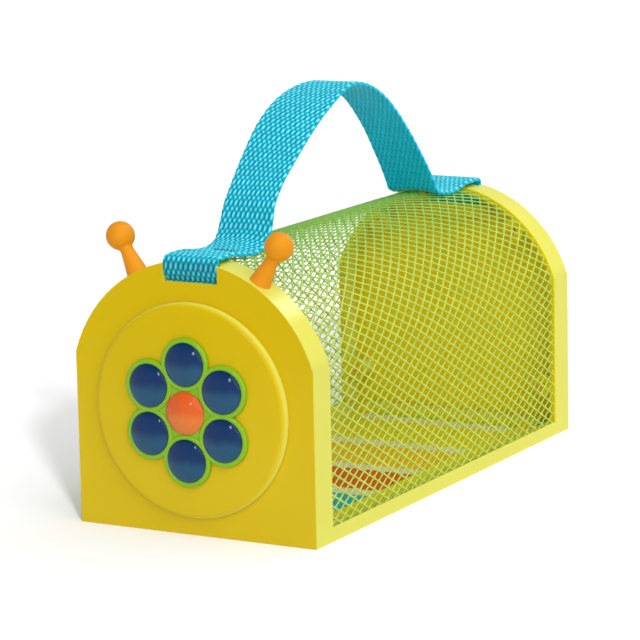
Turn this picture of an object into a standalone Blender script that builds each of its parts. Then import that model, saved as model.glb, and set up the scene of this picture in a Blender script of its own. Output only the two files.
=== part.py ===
"""Bug house: two arched end panels on a base tray, a mesh cover, a webbing strap and a swivelling door.

The width runs along X, the length along Y with the front at -Y, and Z is the height above the table.
The origin is the middle of the underside. Depths are measured inwards from a panel's outer face.
"""

import math

import bmesh
import bpy
from mathutils import Matrix

MM = 0.001

# Body
BODY_WIDTH = 112 * MM
BODY_HEIGHT = 113.5 * MM
BODY_LENGTH = 240 * MM
SIDE_HEIGHT = 72.4 * MM
SEAM = 0.3 * MM
OVERCUT = 1 * MM
WELD = 0.001 * MM

# Facets of round shapes
ARC_STEPS = 30
SCREW_STEPS = 12
BOSS_STEPS = 20
ROUND_STEPS = 24
DISC_STEPS = 48
DOME_STEPS = 5
FOLD_STEPS = 8
LOOP_STEPS = 5

# End panels
PANEL_DEPTH = 14 * MM
FACE_WALL = 2.1 * MM
FOOT_WALL = 1.2 * MM
LIP_WALL = 0.9 * MM
LIP_DEPTH = 4.6 * MM
EDGE_ROUND = 0.6 * MM

# Mesh cover
MESH_THICKNESS = 0.9 * MM
MESH_STRAND = 1.4 * MM
MESH_COLUMNS = 7
SIDE_ROWS = 3
ARCH_ROWS = 8

# Base tray and floor card
TRAY_FLOOR = 2.1 * MM
RAIL_HEIGHT = 6 * MM
RAIL_RIB = 2 * MM
TONGUE_MARGIN = 10 * MM
TONGUE_END_GAP = 1 * MM
TONGUE_THICKNESS = 2.1 * MM
RISER_LENGTH = 2.5 * MM
CARD_MARGIN = 11 * MM
CARD_THICKNESS = 0.8 * MM

# Screws
SCREW_RADIUS = 1.3 * MM
SCREW_HEAD_RIM = 1.3 * MM
SCREW_HEAD_HEIGHT = 1.2 * MM

# Frames that clamp the mesh
FRAME_START = 5 * MM
FRAME_WALL = 2 * MM
BOSS_WALL = 1.9 * MM
EAR_THICKNESS = 3.1 * MM
EAR_BITE = 1.2 * MM
LOWER_EAR_HEIGHT = 22 * MM
UPPER_EAR_SHARE = 0.58
BASE_SCREW_INSET = 11 * MM

# Strap
STRAP_WIDTH = 25.4 * MM
STRAP_THICKNESS = 1.8 * MM
STRAP_SIDE_GAP = 0.5 * MM
NOTCH_DEPTH = 8.8 * MM
TAIL_LENGTH = 7.7 * MM
FOLD_RADIUS = 2.6 * MM
STRAP_DIP = 0.8 * MM
DIP_SETBACK = 10 * MM
FRONT_FOOT = 38 * MM
REAR_FOOT = 40 * MM
LOOP_RISE = 56.8 * MM
LOOP_START_RISE = 12 * MM
# Shares of the loop's span and rise, from the front foot to the rear foot
LOOP_SHAPE = (
    (0.000, 0.02), (0.050, 0.16), (0.136, 0.47), (0.235, 0.71), (0.352, 0.90), (0.488, 1.00),
    (0.611, 0.947), (0.704, 0.83), (0.802, 0.604), (0.889, 0.34), (0.957, 0.12), (1.000, 0.03),
)

# Strap clamps
CLAMP_HEIGHT = 6 * MM
CLAMP_THICKNESS = 2 * MM
CLAMP_END = 0.6 * MM
CLAMP_BOSS_WALL = 1 * MM

# Antennae
ANTENNA_ANGLE = math.radians(29.6)
ANTENNA_LENGTH = 15.6 * MM
ANTENNA_BALL_RADIUS = 6 * MM
ANTENNA_BASE_RADIUS = 4.6 * MM
ANTENNA_NECK_RADIUS = 2.9 * MM
ANTENNA_SHANK_RADIUS = 2 * MM

# Door disc, its pivot and its stops
DOOR_BOTTOM_MARGIN = 7.3 * MM
DOOR_THICKNESS = 6.6 * MM
DOOR_ROUND = 3.2 * MM
DOOR_SHELL = 2.2 * MM
DOOR_GAP = 0.4 * MM
DOOR_OVERLAP = 9 * MM
OPENING_DROP = 12 * MM
DOOR_SWING = math.radians(120)
PIVOT_INSET = 11.1 * MM
PIVOT_RADIUS = 4 * MM
KEEPER_RIM = 2.5 * MM
KEEPER_THICKNESS = 1.8 * MM
LUG_WIDTH = 4 * MM
STOP_WIDTH = 2 * MM
STOP_LENGTH = 3 * MM
STOP_CLEARANCE = 1 * MM

# Flower on the door
PETAL_COUNT = 6
PETAL_RADIUS = 8.9 * MM
PETAL_HEIGHT = 2.4 * MM
PETAL_RIM = 2.1 * MM
FLOWER_THICKNESS = 1 * MM
CENTRE_HEIGHT = 3.2 * MM

# Sizes that follow from the ones above
HALF_WIDTH = BODY_WIDTH / 2
ARCH_RISE = BODY_HEIGHT - SIDE_HEIGHT
ARCH_RADIUS = (HALF_WIDTH ** 2 + ARCH_RISE ** 2) / (2 * ARCH_RISE)
ARCH_CENTRE = BODY_HEIGHT - ARCH_RADIUS
MESH_INSET = LIP_WALL + SEAM
PANEL_WALL = MESH_INSET + MESH_THICKNESS
MESH_START = PANEL_DEPTH - LIP_DEPTH + SEAM
SCREW_HOLE_RADIUS = SCREW_RADIUS + SEAM
SCREW_HEAD_RADIUS = SCREW_RADIUS + SCREW_HEAD_RIM
SCREW_RECESS = SCREW_HEAD_HEIGHT + 2 * SEAM
PANEL_FLOOR = SCREW_RECESS + FOOT_WALL
FRAME_INSET = PANEL_WALL + SEAM
FRAME_END = PANEL_DEPTH - SEAM
EAR_END = FRAME_END - SEAM
BOSS_END = EAR_END - EAR_THICKNESS - SEAM
BOSS_RADIUS = SCREW_HOLE_RADIUS + BOSS_WALL
EAR_INSET = FRAME_INSET + FRAME_WALL + SEAM + BOSS_RADIUS
EAR_RADIUS = BOSS_RADIUS + SEAM + EAR_BITE
TONGUE_BOTTOM = PANEL_FLOOR + SEAM
TONGUE_TOP = TONGUE_BOTTOM + TONGUE_THICKNESS
TONGUE_HALF = HALF_WIDTH - TONGUE_MARGIN
TRAY_END = BODY_LENGTH / 2 - PANEL_DEPTH - SEAM
RISER_END = TRAY_END - SEAM
BASE_SCREW_X = TONGUE_HALF - BASE_SCREW_INSET
BASE_SCREW_DEPTH = PANEL_DEPTH / 2
NOTCH_BOTTOM = BODY_HEIGHT - NOTCH_DEPTH
NOTCH_HALF = STRAP_WIDTH / 2 + STRAP_SIDE_GAP
STRAP_RIDGE = BODY_HEIGHT + SEAM + STRAP_THICKNESS / 2
FLUSH_DEPTH = SEAM + STRAP_THICKNESS / 2
TAIL_DEPTH = FACE_WALL + SEAM + STRAP_THICKNESS / 2
TAIL_BOTTOM = NOTCH_BOTTOM - TAIL_LENGTH
CLAMP_START = TAIL_DEPTH + STRAP_THICKNESS / 2 + SEAM
CLAMP_BOSS_RADIUS = SCREW_HOLE_RADIUS + CLAMP_BOSS_WALL
CLAMP_SCREW_X = NOTCH_HALF + SEAM + CLAMP_BOSS_RADIUS
CLAMP_CENTRE = TAIL_BOTTOM + CLAMP_HEIGHT / 2 + SEAM
ANTENNA_DEPTH = PANEL_DEPTH - LIP_DEPTH - SEAM - ANTENNA_SHANK_RADIUS - SEAM
KEEPER_RADIUS = PIVOT_RADIUS + KEEPER_RIM
KEEPER_START = FACE_WALL + SEAM
KEEPER_END = KEEPER_START + KEEPER_THICKNESS
STOP_START = KEEPER_RADIUS + STOP_CLEARANCE
LUG_REACH = STOP_START + STOP_LENGTH
STOP_ANGLE = DOOR_SWING + math.asin((LUG_WIDTH / 2 + STOP_WIDTH / 2 + SEAM) / STOP_START)
PIVOT_HEIGHT = TAIL_BOTTOM - LUG_REACH - SEAM
DOOR_TOP = PIVOT_HEIGHT + PIVOT_INSET
DOOR_RADIUS = (DOOR_TOP - DOOR_BOTTOM_MARGIN) / 2
DOOR_CENTRE = DOOR_TOP - DOOR_RADIUS
DOOR_FRONT = -DOOR_GAP - DOOR_THICKNESS
OPENING_RADIUS = DOOR_RADIUS - OPENING_DROP - DOOR_OVERLAP
OPENING_CENTRE = DOOR_CENTRE - OPENING_DROP
FLOWER_FRONT = DOOR_FRONT - SEAM - FLOWER_THICKNESS
PETAL_STEP = 2 * math.pi / PETAL_COUNT
PETAL_CIRCLE = (PETAL_RADIUS + PETAL_RIM / 2) / math.sin(PETAL_STEP / 2)
CENTRE_RADIUS = PETAL_CIRCLE - PETAL_RADIUS - PETAL_RIM

FRONT = -1
REAR = 1
QUARTER_TURN = [math.pi / 2 * i / DOME_STEPS for i in range(DOME_STEPS + 1)]

for old in list(bpy.data.objects):
    bpy.data.objects.remove(old, do_unlink=True)

PARTS = bpy.data.collections.new("bug_house")
CUTTERS = bpy.data.collections.new("cutters")
bpy.context.scene.collection.children.link(PARTS)
bpy.context.scene.collection.children.link(CUTTERS)


def finish(name, colour, roughness, metallic=0.0):
    """A plain surface finish with one colour."""
    material = bpy.data.materials.new(name)
    material.use_nodes = True
    shader = material.node_tree.nodes["Principled BSDF"]
    shader.inputs["Base Color"].default_value = (*colour, 1.0)
    shader.inputs["Roughness"].default_value = roughness
    shader.inputs["Metallic"].default_value = metallic
    return material


YELLOW = finish("yellow_plastic", (0.80, 0.62, 0.03), 0.38)
ORANGE = finish("orange_plastic", (0.92, 0.33, 0.04), 0.42)
GREEN = finish("green_plastic", (0.24, 0.52, 0.03), 0.32)
NAVY = finish("navy_plastic", (0.01, 0.05, 0.18), 0.15)
RED = finish("red_plastic", (0.82, 0.16, 0.03), 0.3)
MESH_GREEN = finish("mesh_green", (0.46, 0.68, 0.24), 0.45)
WEBBING = finish("blue_webbing", (0.0, 0.36, 0.62), 0.8)
CARD = finish("striped_card", (0.82, 0.55, 0.05), 0.7)
STEEL = finish("zinc_steel", (0.62, 0.62, 0.6), 0.35, 1.0)


def add(name, mesh, matrix, material=None):
    """Put a mesh in the parts collection as one object."""
    thing = bpy.data.objects.new(name, mesh)
    thing.matrix_world = matrix
    if material:
        mesh.materials.clear()
        mesh.materials.append(material)
    PARTS.objects.link(thing)
    return thing


def solid_mesh(thing):
    """The evaluated mesh of an object, with its loose caps welded."""
    bpy.context.view_layer.update()
    mesh = bpy.data.meshes.new_from_object(thing.evaluated_get(bpy.context.evaluated_depsgraph_get()))
    weld = bmesh.new()
    weld.from_mesh(mesh)
    bmesh.ops.remove_doubles(weld, verts=weld.verts, dist=WELD)
    weld.to_mesh(mesh)
    weld.free()
    return mesh


def smooth(thing):
    """Shade an object smooth, apart from its corners."""
    thing.data.shade_smooth()
    thing.data.set_sharp_from_angle(angle=math.radians(35))
    return thing


AXES = {
    "X": Matrix.Rotation(math.radians(90), 4, "Z") @ Matrix.Rotation(math.radians(90), 4, "X"),
    "Y": Matrix.Rotation(math.radians(90), 4, "X"),
}


def prism(name, outline, axis, start, end, material=None):
    """A flat outline carried along an axis. Along Y the outline is (x, z), and along X it is (y, z)."""
    curve = bpy.data.curves.new(name, "CURVE")
    curve.dimensions = "2D"
    curve.fill_mode = "BOTH"
    curve.extrude = abs(end - start) / 2
    spline = curve.splines.new("POLY")
    spline.points.add(len(outline) - 1)
    for point, (u, v) in zip(spline.points, outline):
        point.co = (u, v, 0, 1)
    spline.use_cyclic_u = True
    guide = bpy.data.objects.new(name + "_outline", curve)
    PARTS.objects.link(guide)
    mesh = solid_mesh(guide)
    bpy.data.objects.remove(guide, do_unlink=True)
    offset = [0, 0, 0]
    offset["XYZ".index(axis)] = (start + end) / 2
    return add(name, mesh, Matrix.Translation(offset) @ AXES[axis], material)


def box(name, low, high, material=None):
    """A block between two corners."""
    shape = bmesh.new()
    bmesh.ops.create_cube(shape, size=1)
    size = [b - a for a, b in zip(low, high)]
    centre = [(a + b) / 2 for a, b in zip(low, high)]
    bmesh.ops.scale(shape, vec=size, verts=shape.verts)
    mesh = bpy.data.meshes.new(name)
    shape.to_mesh(mesh)
    shape.free()
    return add(name, mesh, Matrix.Translation(centre), material)


def rod(name, radius, matrix, start, end, steps=ROUND_STEPS):
    """A round bar along the Z axis of a matrix."""
    shape = bmesh.new()
    bmesh.ops.create_cone(
        shape, cap_ends=True, segments=steps, radius1=radius, radius2=radius, depth=end - start
    )
    bmesh.ops.translate(shape, vec=(0, 0, (start + end) / 2), verts=shape.verts)
    mesh = bpy.data.meshes.new(name)
    shape.to_mesh(mesh)
    shape.free()
    return add(name, mesh, matrix)


def turned(name, profile, matrix, steps, material=None):
    """A profile of (radius, height), from top to bottom, turned about the Z axis of a matrix."""
    mesh = bpy.data.meshes.new(name)
    mesh.from_pydata([(r, 0, z) for r, z in profile], [(i, i + 1) for i in range(len(profile) - 1)], [])
    thing = add(name, mesh, matrix)
    screw = thing.modifiers.new("turn", "SCREW")
    screw.steps = steps
    screw.render_steps = steps
    screw.use_merge_vertices = True
    screw.merge_threshold = WELD
    thing.data = solid_mesh(thing)
    thing.modifiers.clear()
    bpy.data.meshes.remove(mesh)
    if material:
        thing.data.materials.append(material)
    return smooth(thing)


def combine(target, tool, operation):
    """Cut a tool out of a target, or join it on."""
    boolean = target.modifiers.new(tool.name, "BOOLEAN")
    boolean.operation = operation
    boolean.solver = "EXACT"
    boolean.object = tool
    PARTS.objects.unlink(tool)
    CUTTERS.objects.link(tool)
    tool.hide_render = True
    tool.display_type = "WIRE"


def cut(target, tool):
    """Take a tool's shape out of a target."""
    combine(target, tool, "DIFFERENCE")


def join(target, tool):
    """Make a tool's shape part of a target."""
    combine(target, tool, "UNION")


def at_depth(side, depth):
    """The Y of a depth inside the front or rear panel."""
    return side * (BODY_LENGTH / 2 - depth)


def inward(side, x, z):
    """A matrix at a panel's outer face whose Z axis points into the house."""
    turn = Matrix.Rotation(side * math.radians(90), 4, "X")
    return Matrix.Translation((x, at_depth(side, 0), z)) @ turn


def arch_end(inset):
    """Half the angle of the arch and the height where it meets the straight sides, for an inset outline."""
    radius = ARCH_RADIUS - inset
    half = HALF_WIDTH - inset
    climb = math.copysign(math.sqrt(max(radius ** 2 - half ** 2, 0)), SIDE_HEIGHT - ARCH_CENTRE)
    return math.atan2(half, climb), ARCH_CENTRE + climb


def arch_point(inset, angle):
    """The (x, z) of a point of the inset arch, at an angle from straight up."""
    radius = ARCH_RADIUS - inset
    return radius * math.sin(angle), ARCH_CENTRE + radius * math.cos(angle)


def arch_outline(inset, floor):
    """The outline of a panel, drawn in by an inset and standing on a floor height."""
    half = HALF_WIDTH - inset
    reach, _ = arch_end(inset)
    turns = [reach * (1 - 2 * i / ARC_STEPS) for i in range(ARC_STEPS + 1)]
    return [(-half, floor), (half, floor)] + [arch_point(inset, turn) for turn in turns]


def ear_places():
    """The (x, z) of the four screws that hold a frame in its panel."""
    side = HALF_WIDTH - EAR_INSET
    upper_x, upper_z = arch_point(EAR_INSET, arch_end(0)[0] * UPPER_EAR_SHARE)
    return [(-side, LOWER_EAR_HEIGHT), (side, LOWER_EAR_HEIGHT), (-upper_x, upper_z), (upper_x, upper_z)]


def end_panel(name, side):
    """A hollow arched cap: face, rim with a thin lip over the mesh, floor, strap notch and screw bosses."""
    panel = prism(name, arch_outline(0, 0), "Y", at_depth(side, 0), at_depth(side, PANEL_DEPTH), YELLOW)
    rounding = panel.modifiers.new("edges", "BEVEL")
    rounding.width = min(EDGE_ROUND, LIP_WALL - SEAM)
    rounding.segments = 2
    rounding.limit_method = "ANGLE"
    rounding.angle_limit = math.radians(40)
    past = PANEL_DEPTH + OVERCUT
    cut(panel, prism(name + "_cavity", arch_outline(PANEL_WALL, PANEL_FLOOR), "Y",
                     at_depth(side, FACE_WALL), at_depth(side, past)))
    cut(panel, prism(name + "_rebate", arch_outline(LIP_WALL, PANEL_FLOOR + SEAM / 2), "Y",
                     at_depth(side, PANEL_DEPTH - LIP_DEPTH), at_depth(side, past)))
    notch_run = FLUSH_DEPTH + FOLD_RADIUS + SEAM
    ends = sorted((at_depth(side, -OVERCUT), at_depth(side, notch_run)))
    cut(panel, box(name + "_notch", (-NOTCH_HALF, ends[0], NOTCH_BOTTOM),
                   (NOTCH_HALF, ends[1], BODY_HEIGHT + OVERCUT)))
    root = FACE_WALL - SEAM
    for i, (x, z) in enumerate(ear_places()):
        join(panel, rod(f"{name}_boss_{i + 1}", BOSS_RADIUS, inward(side, x, z), root, BOSS_END, BOSS_STEPS))
        cut(panel, rod(f"{name}_boss_hole_{i + 1}", SCREW_HOLE_RADIUS, inward(side, x, z),
                       FACE_WALL, BOSS_END + OVERCUT, SCREW_STEPS))
    for i, x in enumerate((-CLAMP_SCREW_X, CLAMP_SCREW_X)):
        join(panel, rod(f"{name}_clamp_boss_{i + 1}", CLAMP_BOSS_RADIUS, inward(side, x, CLAMP_CENTRE),
                        root, CLAMP_START - SEAM, BOSS_STEPS))
        cut(panel, rod(f"{name}_clamp_hole_{i + 1}", SCREW_HOLE_RADIUS, inward(side, x, CLAMP_CENTRE),
                       FACE_WALL / 2, CLAMP_START + OVERCUT, SCREW_STEPS))
    for i, x in enumerate((-BASE_SCREW_X, BASE_SCREW_X)):
        place = Matrix.Translation((x, at_depth(side, BASE_SCREW_DEPTH), 0))
        cut(panel, rod(f"{name}_foot_hole_{i + 1}", SCREW_HOLE_RADIUS, place,
                       -OVERCUT, PANEL_FLOOR + OVERCUT, SCREW_STEPS))
        cut(panel, rod(f"{name}_foot_recess_{i + 1}", SCREW_HEAD_RADIUS + SEAM, place,
                       -OVERCUT, SCREW_RECESS, BOSS_STEPS))
    return panel


def antenna_matrix(hand):
    """A matrix on the front panel's rim whose Z axis stands square to the arch."""
    x, z = arch_point(0, hand * ANTENNA_ANGLE)
    place = Matrix.Translation((x, at_depth(FRONT, ANTENNA_DEPTH), z))
    return place @ Matrix.Rotation(hand * ANTENNA_ANGLE, 4, "Y")


def front_panel():
    """The front cap, with its door opening, pivot hole, door stops and antenna holes."""
    panel = end_panel("front_panel", FRONT)
    cut(panel, rod("front_panel_opening", OPENING_RADIUS, inward(FRONT, 0, OPENING_CENTRE),
                   -OVERCUT, FACE_WALL + OVERCUT, DISC_STEPS))
    cut(panel, rod("front_panel_pivot_hole", PIVOT_RADIUS + SEAM, inward(FRONT, 0, PIVOT_HEIGHT),
                   -OVERCUT, FACE_WALL + OVERCUT))
    for hand, label in ((-1, "left"), (1, "right")):
        stop = box(f"front_panel_stop_{label}",
                   (-STOP_WIDTH / 2, at_depth(FRONT, FACE_WALL - SEAM), -LUG_REACH),
                   (STOP_WIDTH / 2, at_depth(FRONT, KEEPER_END), -STOP_START))
        pivot = Matrix.Translation((0, 0, PIVOT_HEIGHT))
        stop.matrix_world = pivot @ Matrix.Rotation(hand * STOP_ANGLE, 4, "Y") @ stop.matrix_world
        join(panel, stop)
        cut(panel, rod(f"front_panel_antenna_hole_{label}", ANTENNA_SHANK_RADIUS + SEAM,
                       antenna_matrix(hand), -PANEL_WALL - SEAM, OVERCUT, BOSS_STEPS))


def inner_frame(name, side):
    """An arched band inside a panel, open at the bottom, with four ears for its screws."""
    bottom = TONGUE_TOP + SEAM
    frame = prism(name, arch_outline(FRAME_INSET, bottom), "Y",
                  at_depth(side, FRAME_START), at_depth(side, FRAME_END), YELLOW)
    cut(frame, prism(name + "_inside", arch_outline(FRAME_INSET + FRAME_WALL, bottom - OVERCUT), "Y",
                     at_depth(side, FRAME_START - OVERCUT), at_depth(side, FRAME_END + OVERCUT)))
    for i, (x, z) in enumerate(ear_places()):
        join(frame, rod(f"{name}_ear_{i + 1}", EAR_RADIUS, inward(side, x, z), BOSS_END + SEAM,
                        EAR_END, BOSS_STEPS))
        cut(frame, rod(f"{name}_ear_hole_{i + 1}", SCREW_HOLE_RADIUS, inward(side, x, z),
                       BOSS_END - OVERCUT, FRAME_END + OVERCUT, SCREW_STEPS))


def base_tray():
    """The floor with two grooved side rails, and a tongue at each end that goes into a panel."""
    rail = HALF_WIDTH
    lip = rail - LIP_WALL
    rib_out = rail - PANEL_WALL - SEAM
    rib_in = rib_out - RAIL_RIB
    right = [(rail, 0), (rail, RAIL_HEIGHT), (lip, RAIL_HEIGHT), (lip, PANEL_FLOOR), (rib_out, PANEL_FLOOR),
             (rib_out, RAIL_HEIGHT), (rib_in, RAIL_HEIGHT), (rib_in, TRAY_FLOOR)]
    outline = right + [(-x, z) for x, z in reversed(right)]
    tray = prism("base_tray", outline, "Y", -TRAY_END, TRAY_END, YELLOW)
    half = TONGUE_HALF
    for side, label in ((FRONT, "front"), (REAR, "rear")):
        ends = sorted((side * (RISER_END - RISER_LENGTH), side * RISER_END))
        join(tray, box(f"base_tray_riser_{label}", (-half, ends[0], TRAY_FLOOR / 2),
                       (half, ends[1], TONGUE_TOP)))
        ends = sorted((side * (RISER_END - RISER_LENGTH / 2), at_depth(side, FACE_WALL + TONGUE_END_GAP)))
        join(tray, box(f"base_tray_tongue_{label}", (-half + SEAM, ends[0], TONGUE_BOTTOM),
                       (half - SEAM, ends[1], TONGUE_TOP - SEAM / 2)))
        for i, x in enumerate((-BASE_SCREW_X, BASE_SCREW_X)):
            place = Matrix.Translation((x, at_depth(side, BASE_SCREW_DEPTH), 0))
            cut(tray, rod(f"base_tray_hole_{label}_{i + 1}", SCREW_HOLE_RADIUS, place,
                          PANEL_FLOOR, TONGUE_TOP + OVERCUT, SCREW_STEPS))


def floor_card():
    """The striped card that lies on the tray between the risers."""
    half = HALF_WIDTH - CARD_MARGIN
    end = RISER_END - RISER_LENGTH - SEAM
    bottom = TRAY_FLOOR + SEAM
    box("floor_card", (-half, -end, bottom), (half, end, bottom + CARD_THICKNESS), CARD)


def mesh_profile(row):
    """The (x, z) of the mesh's middle surface at a row number counted from the right-hand rail."""
    inset = MESH_INSET + MESH_THICKNESS / 2
    reach, spring = arch_end(inset)
    foot = PANEL_FLOOR + SEAM
    half = HALF_WIDTH - inset
    if row <= SIDE_ROWS:
        return half, foot + (spring - foot) * row / SIDE_ROWS
    if row >= SIDE_ROWS + ARCH_ROWS:
        return -half, spring + (foot - spring) * (row - SIDE_ROWS - ARCH_ROWS) / SIDE_ROWS
    return arch_point(inset, reach * (1 - 2 * (row - SIDE_ROWS) / ARCH_ROWS))


def mesh_cover():
    """A net of diamond gaps over the house: a flat grid made diamonds, opened, bent and thickened."""
    rows = 2 * SIDE_ROWS + ARCH_ROWS
    half_length = BODY_LENGTH / 2 - MESH_START
    net = bmesh.new()
    bmesh.ops.create_grid(net, x_segments=MESH_COLUMNS, y_segments=rows, size=1)
    # A straight strip about as long as the bent one keeps the strands' width even
    strip = 2 * (SIDE_HEIGHT - PANEL_FLOOR) + 2 * ARCH_RADIUS * arch_end(0)[0]
    bmesh.ops.scale(net, vec=(half_length, strip / 2, 1), verts=net.verts)
    square_edges = [edge for edge in net.edges if not edge.is_boundary]
    border = [edge for edge in net.edges if edge.is_boundary]
    bmesh.ops.poke(net, faces=net.faces)
    bmesh.ops.dissolve_edges(net, edges=square_edges, use_verts=False)
    bmesh.ops.subdivide_edges(net, edges=border, cuts=1)
    faces = list(net.faces)
    bmesh.ops.inset_individual(net, faces=faces, thickness=MESH_STRAND / 2, use_even_offset=True)
    bmesh.ops.delete(net, geom=faces, context="FACES")
    for vert in net.verts:
        row = (vert.co.y / strip + 0.5) * rows
        x, z = mesh_profile(row)
        vert.co = (x, vert.co.x, z)
    bmesh.ops.recalc_face_normals(net, faces=net.faces)
    mesh = bpy.data.meshes.new("mesh_cover")
    net.to_mesh(mesh)
    net.free()
    cover = add("mesh_cover", mesh, Matrix.Identity(4), MESH_GREEN)
    wall = cover.modifiers.new("wall", "SOLIDIFY")
    wall.thickness = MESH_THICKNESS
    wall.offset = 0


def strap_end(side):
    """Points (y, z) of the strap's middle from its clamped tail, up the notch and over the panel's rim."""
    bend = NOTCH_BOTTOM + SEAM
    fold = STRAP_RIDGE - FOLD_RADIUS
    points = [(TAIL_DEPTH, TAIL_BOTTOM), (TAIL_DEPTH, (TAIL_BOTTOM + bend) / 2)]
    for i in range(FOLD_STEPS):
        share = i / FOLD_STEPS
        ease = (1 + math.cos(math.pi * share)) / 2
        points.append((FLUSH_DEPTH + (TAIL_DEPTH - FLUSH_DEPTH) * ease, bend + (fold - bend) * share))
    for i in range(FOLD_STEPS + 1):
        turn = math.pi / 2 * i / FOLD_STEPS
        points.append((FLUSH_DEPTH + FOLD_RADIUS * (1 - math.cos(turn)),
                       STRAP_RIDGE - FOLD_RADIUS * (1 - math.sin(turn))))
    return [(at_depth(side, depth), z) for depth, z in points]


def smooth_path(points, steps):
    """A smooth curve through points (Catmull-Rom), with a number of steps between each two."""
    path = []
    for i in range(1, len(points) - 2):
        before, start, end, after = points[i - 1:i + 3]
        for k in range(steps):
            t = k / steps
            path.append(tuple(
                ((2 * b) + (c - a) * t + (2 * a - 5 * b + 4 * c - d) * t ** 2
                 + (3 * b - a - 3 * c + d) * t ** 3) / 2
                for a, b, c, d in zip(before, start, end, after)
            ))
    return path + [points[-2]]


def strap_path():
    """Points (y, z) of the whole strap's middle, from the front tail to the rear tail."""
    front, rear = strap_end(FRONT), strap_end(REAR)
    dip = STRAP_RIDGE - STRAP_DIP
    foot = at_depth(FRONT, FRONT_FOOT)
    span = at_depth(REAR, REAR_FOOT) - foot
    guide = [front[-1], (at_depth(FRONT, PANEL_DEPTH), STRAP_RIDGE),
             (at_depth(FRONT, PANEL_DEPTH + DIP_SETBACK), dip)]
    guide += [(foot + span * along, STRAP_RIDGE + LOOP_RISE * up) for along, up in LOOP_SHAPE]
    guide += [(at_depth(REAR, PANEL_DEPTH + DIP_SETBACK), dip),
              (at_depth(REAR, PANEL_DEPTH), STRAP_RIDGE), rear[-1]]
    return front + smooth_path(guide, LOOP_STEPS) + rear[::-1]


def trimmed(path, gap):
    """A path drawn back from both ends by a gap."""
    def draw_back(end, before):
        length = math.dist(end, before)
        return tuple(e + (b - e) * gap / length for e, b in zip(end, before))
    return [draw_back(path[0], path[1])] + path[1:-1] + [draw_back(path[-1], path[-2])]


def ribbon(name, path):
    """A strap of webbing that follows a path across the house's length."""
    left, right = [], []
    for i, (y, z) in enumerate(path):
        before, after = path[max(i - 1, 0)], path[min(i + 1, len(path) - 1)]
        along_y, along_z = after[0] - before[0], after[1] - before[1]
        reach = STRAP_THICKNESS / 2 / math.hypot(along_y, along_z)
        left.append((y - along_z * reach, z + along_y * reach))
        right.append((y + along_z * reach, z - along_y * reach))
    smooth(prism(name, left + right[::-1], "X", -STRAP_WIDTH / 2, STRAP_WIDTH / 2, WEBBING))


def strap():
    """The strap: a run from each clamp to the foot of the loop, and the loop between them."""
    path = strap_path()
    start = STRAP_RIDGE + LOOP_START_RISE
    inside = [i for i, (_, z) in enumerate(path) if z > start]
    first, last = inside[0], inside[-1]
    ribbon("strap_front_run", [path[0]] + trimmed(path[:first + 1], SEAM / 2)[1:])
    ribbon("strap_loop", trimmed(path[first:last + 1], SEAM / 2))
    ribbon("strap_rear_run", trimmed(path[last:], SEAM / 2)[:-1] + [path[-1]])


def strap_clamp(name, side):
    """A bar that presses the strap's tail against the inside of a panel's face."""
    half = CLAMP_SCREW_X + SCREW_HEAD_RADIUS + CLAMP_END
    ends = sorted((at_depth(side, CLAMP_START), at_depth(side, CLAMP_START + CLAMP_THICKNESS)))
    clamp = box(name, (-half, ends[0], CLAMP_CENTRE - CLAMP_HEIGHT / 2),
                (half, ends[1], CLAMP_CENTRE + CLAMP_HEIGHT / 2), YELLOW)
    for i, x in enumerate((-CLAMP_SCREW_X, CLAMP_SCREW_X)):
        cut(clamp, rod(f"{name}_hole_{i + 1}", SCREW_HOLE_RADIUS, inward(side, x, CLAMP_CENTRE),
                       CLAMP_START - OVERCUT, CLAMP_START + CLAMP_THICKNESS + OVERCUT, SCREW_STEPS))


def screw(name, matrix, seat, tip):
    """A screw along the Z axis of a matrix: its head stands on a seat, and its shank goes back to a tip."""
    under = seat + SEAM
    top = under + SCREW_HEAD_HEIGHT
    edge = SCREW_HEAD_HEIGHT / 3
    profile = [(0, top), (SCREW_HEAD_RADIUS - edge, top), (SCREW_HEAD_RADIUS, top - edge),
               (SCREW_HEAD_RADIUS, under), (SCREW_RADIUS, under), (SCREW_RADIUS, tip + SCREW_RADIUS / 2),
               (SCREW_RADIUS / 2, tip), (0, tip)]
    turned(name, profile, matrix, SCREW_STEPS, STEEL)


def screws():
    """All the screws: four in each frame, two in each strap clamp and two under each end of the base."""
    for side, label in ((FRONT, "front"), (REAR, "rear")):
        for i, (x, z) in enumerate(ear_places()):
            screw(f"{label}_frame_screw_{i + 1}", inward(side, x, z), EAR_END, FACE_WALL + SEAM)
        for x, hand in ((-CLAMP_SCREW_X, "left"), (CLAMP_SCREW_X, "right")):
            screw(f"{label}_clamp_screw_{hand}", inward(side, x, CLAMP_CENTRE),
                  CLAMP_START + CLAMP_THICKNESS, FACE_WALL / 2 + SEAM)
        for x, hand in ((-BASE_SCREW_X, "left"), (BASE_SCREW_X, "right")):
            place = Matrix.Translation((x, at_depth(side, BASE_SCREW_DEPTH), 0))
            screw(f"{label}_base_screw_{hand}", place @ Matrix.Rotation(math.pi, 4, "X"),
                  -SCREW_RECESS, -TONGUE_TOP + SEAM)


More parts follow.
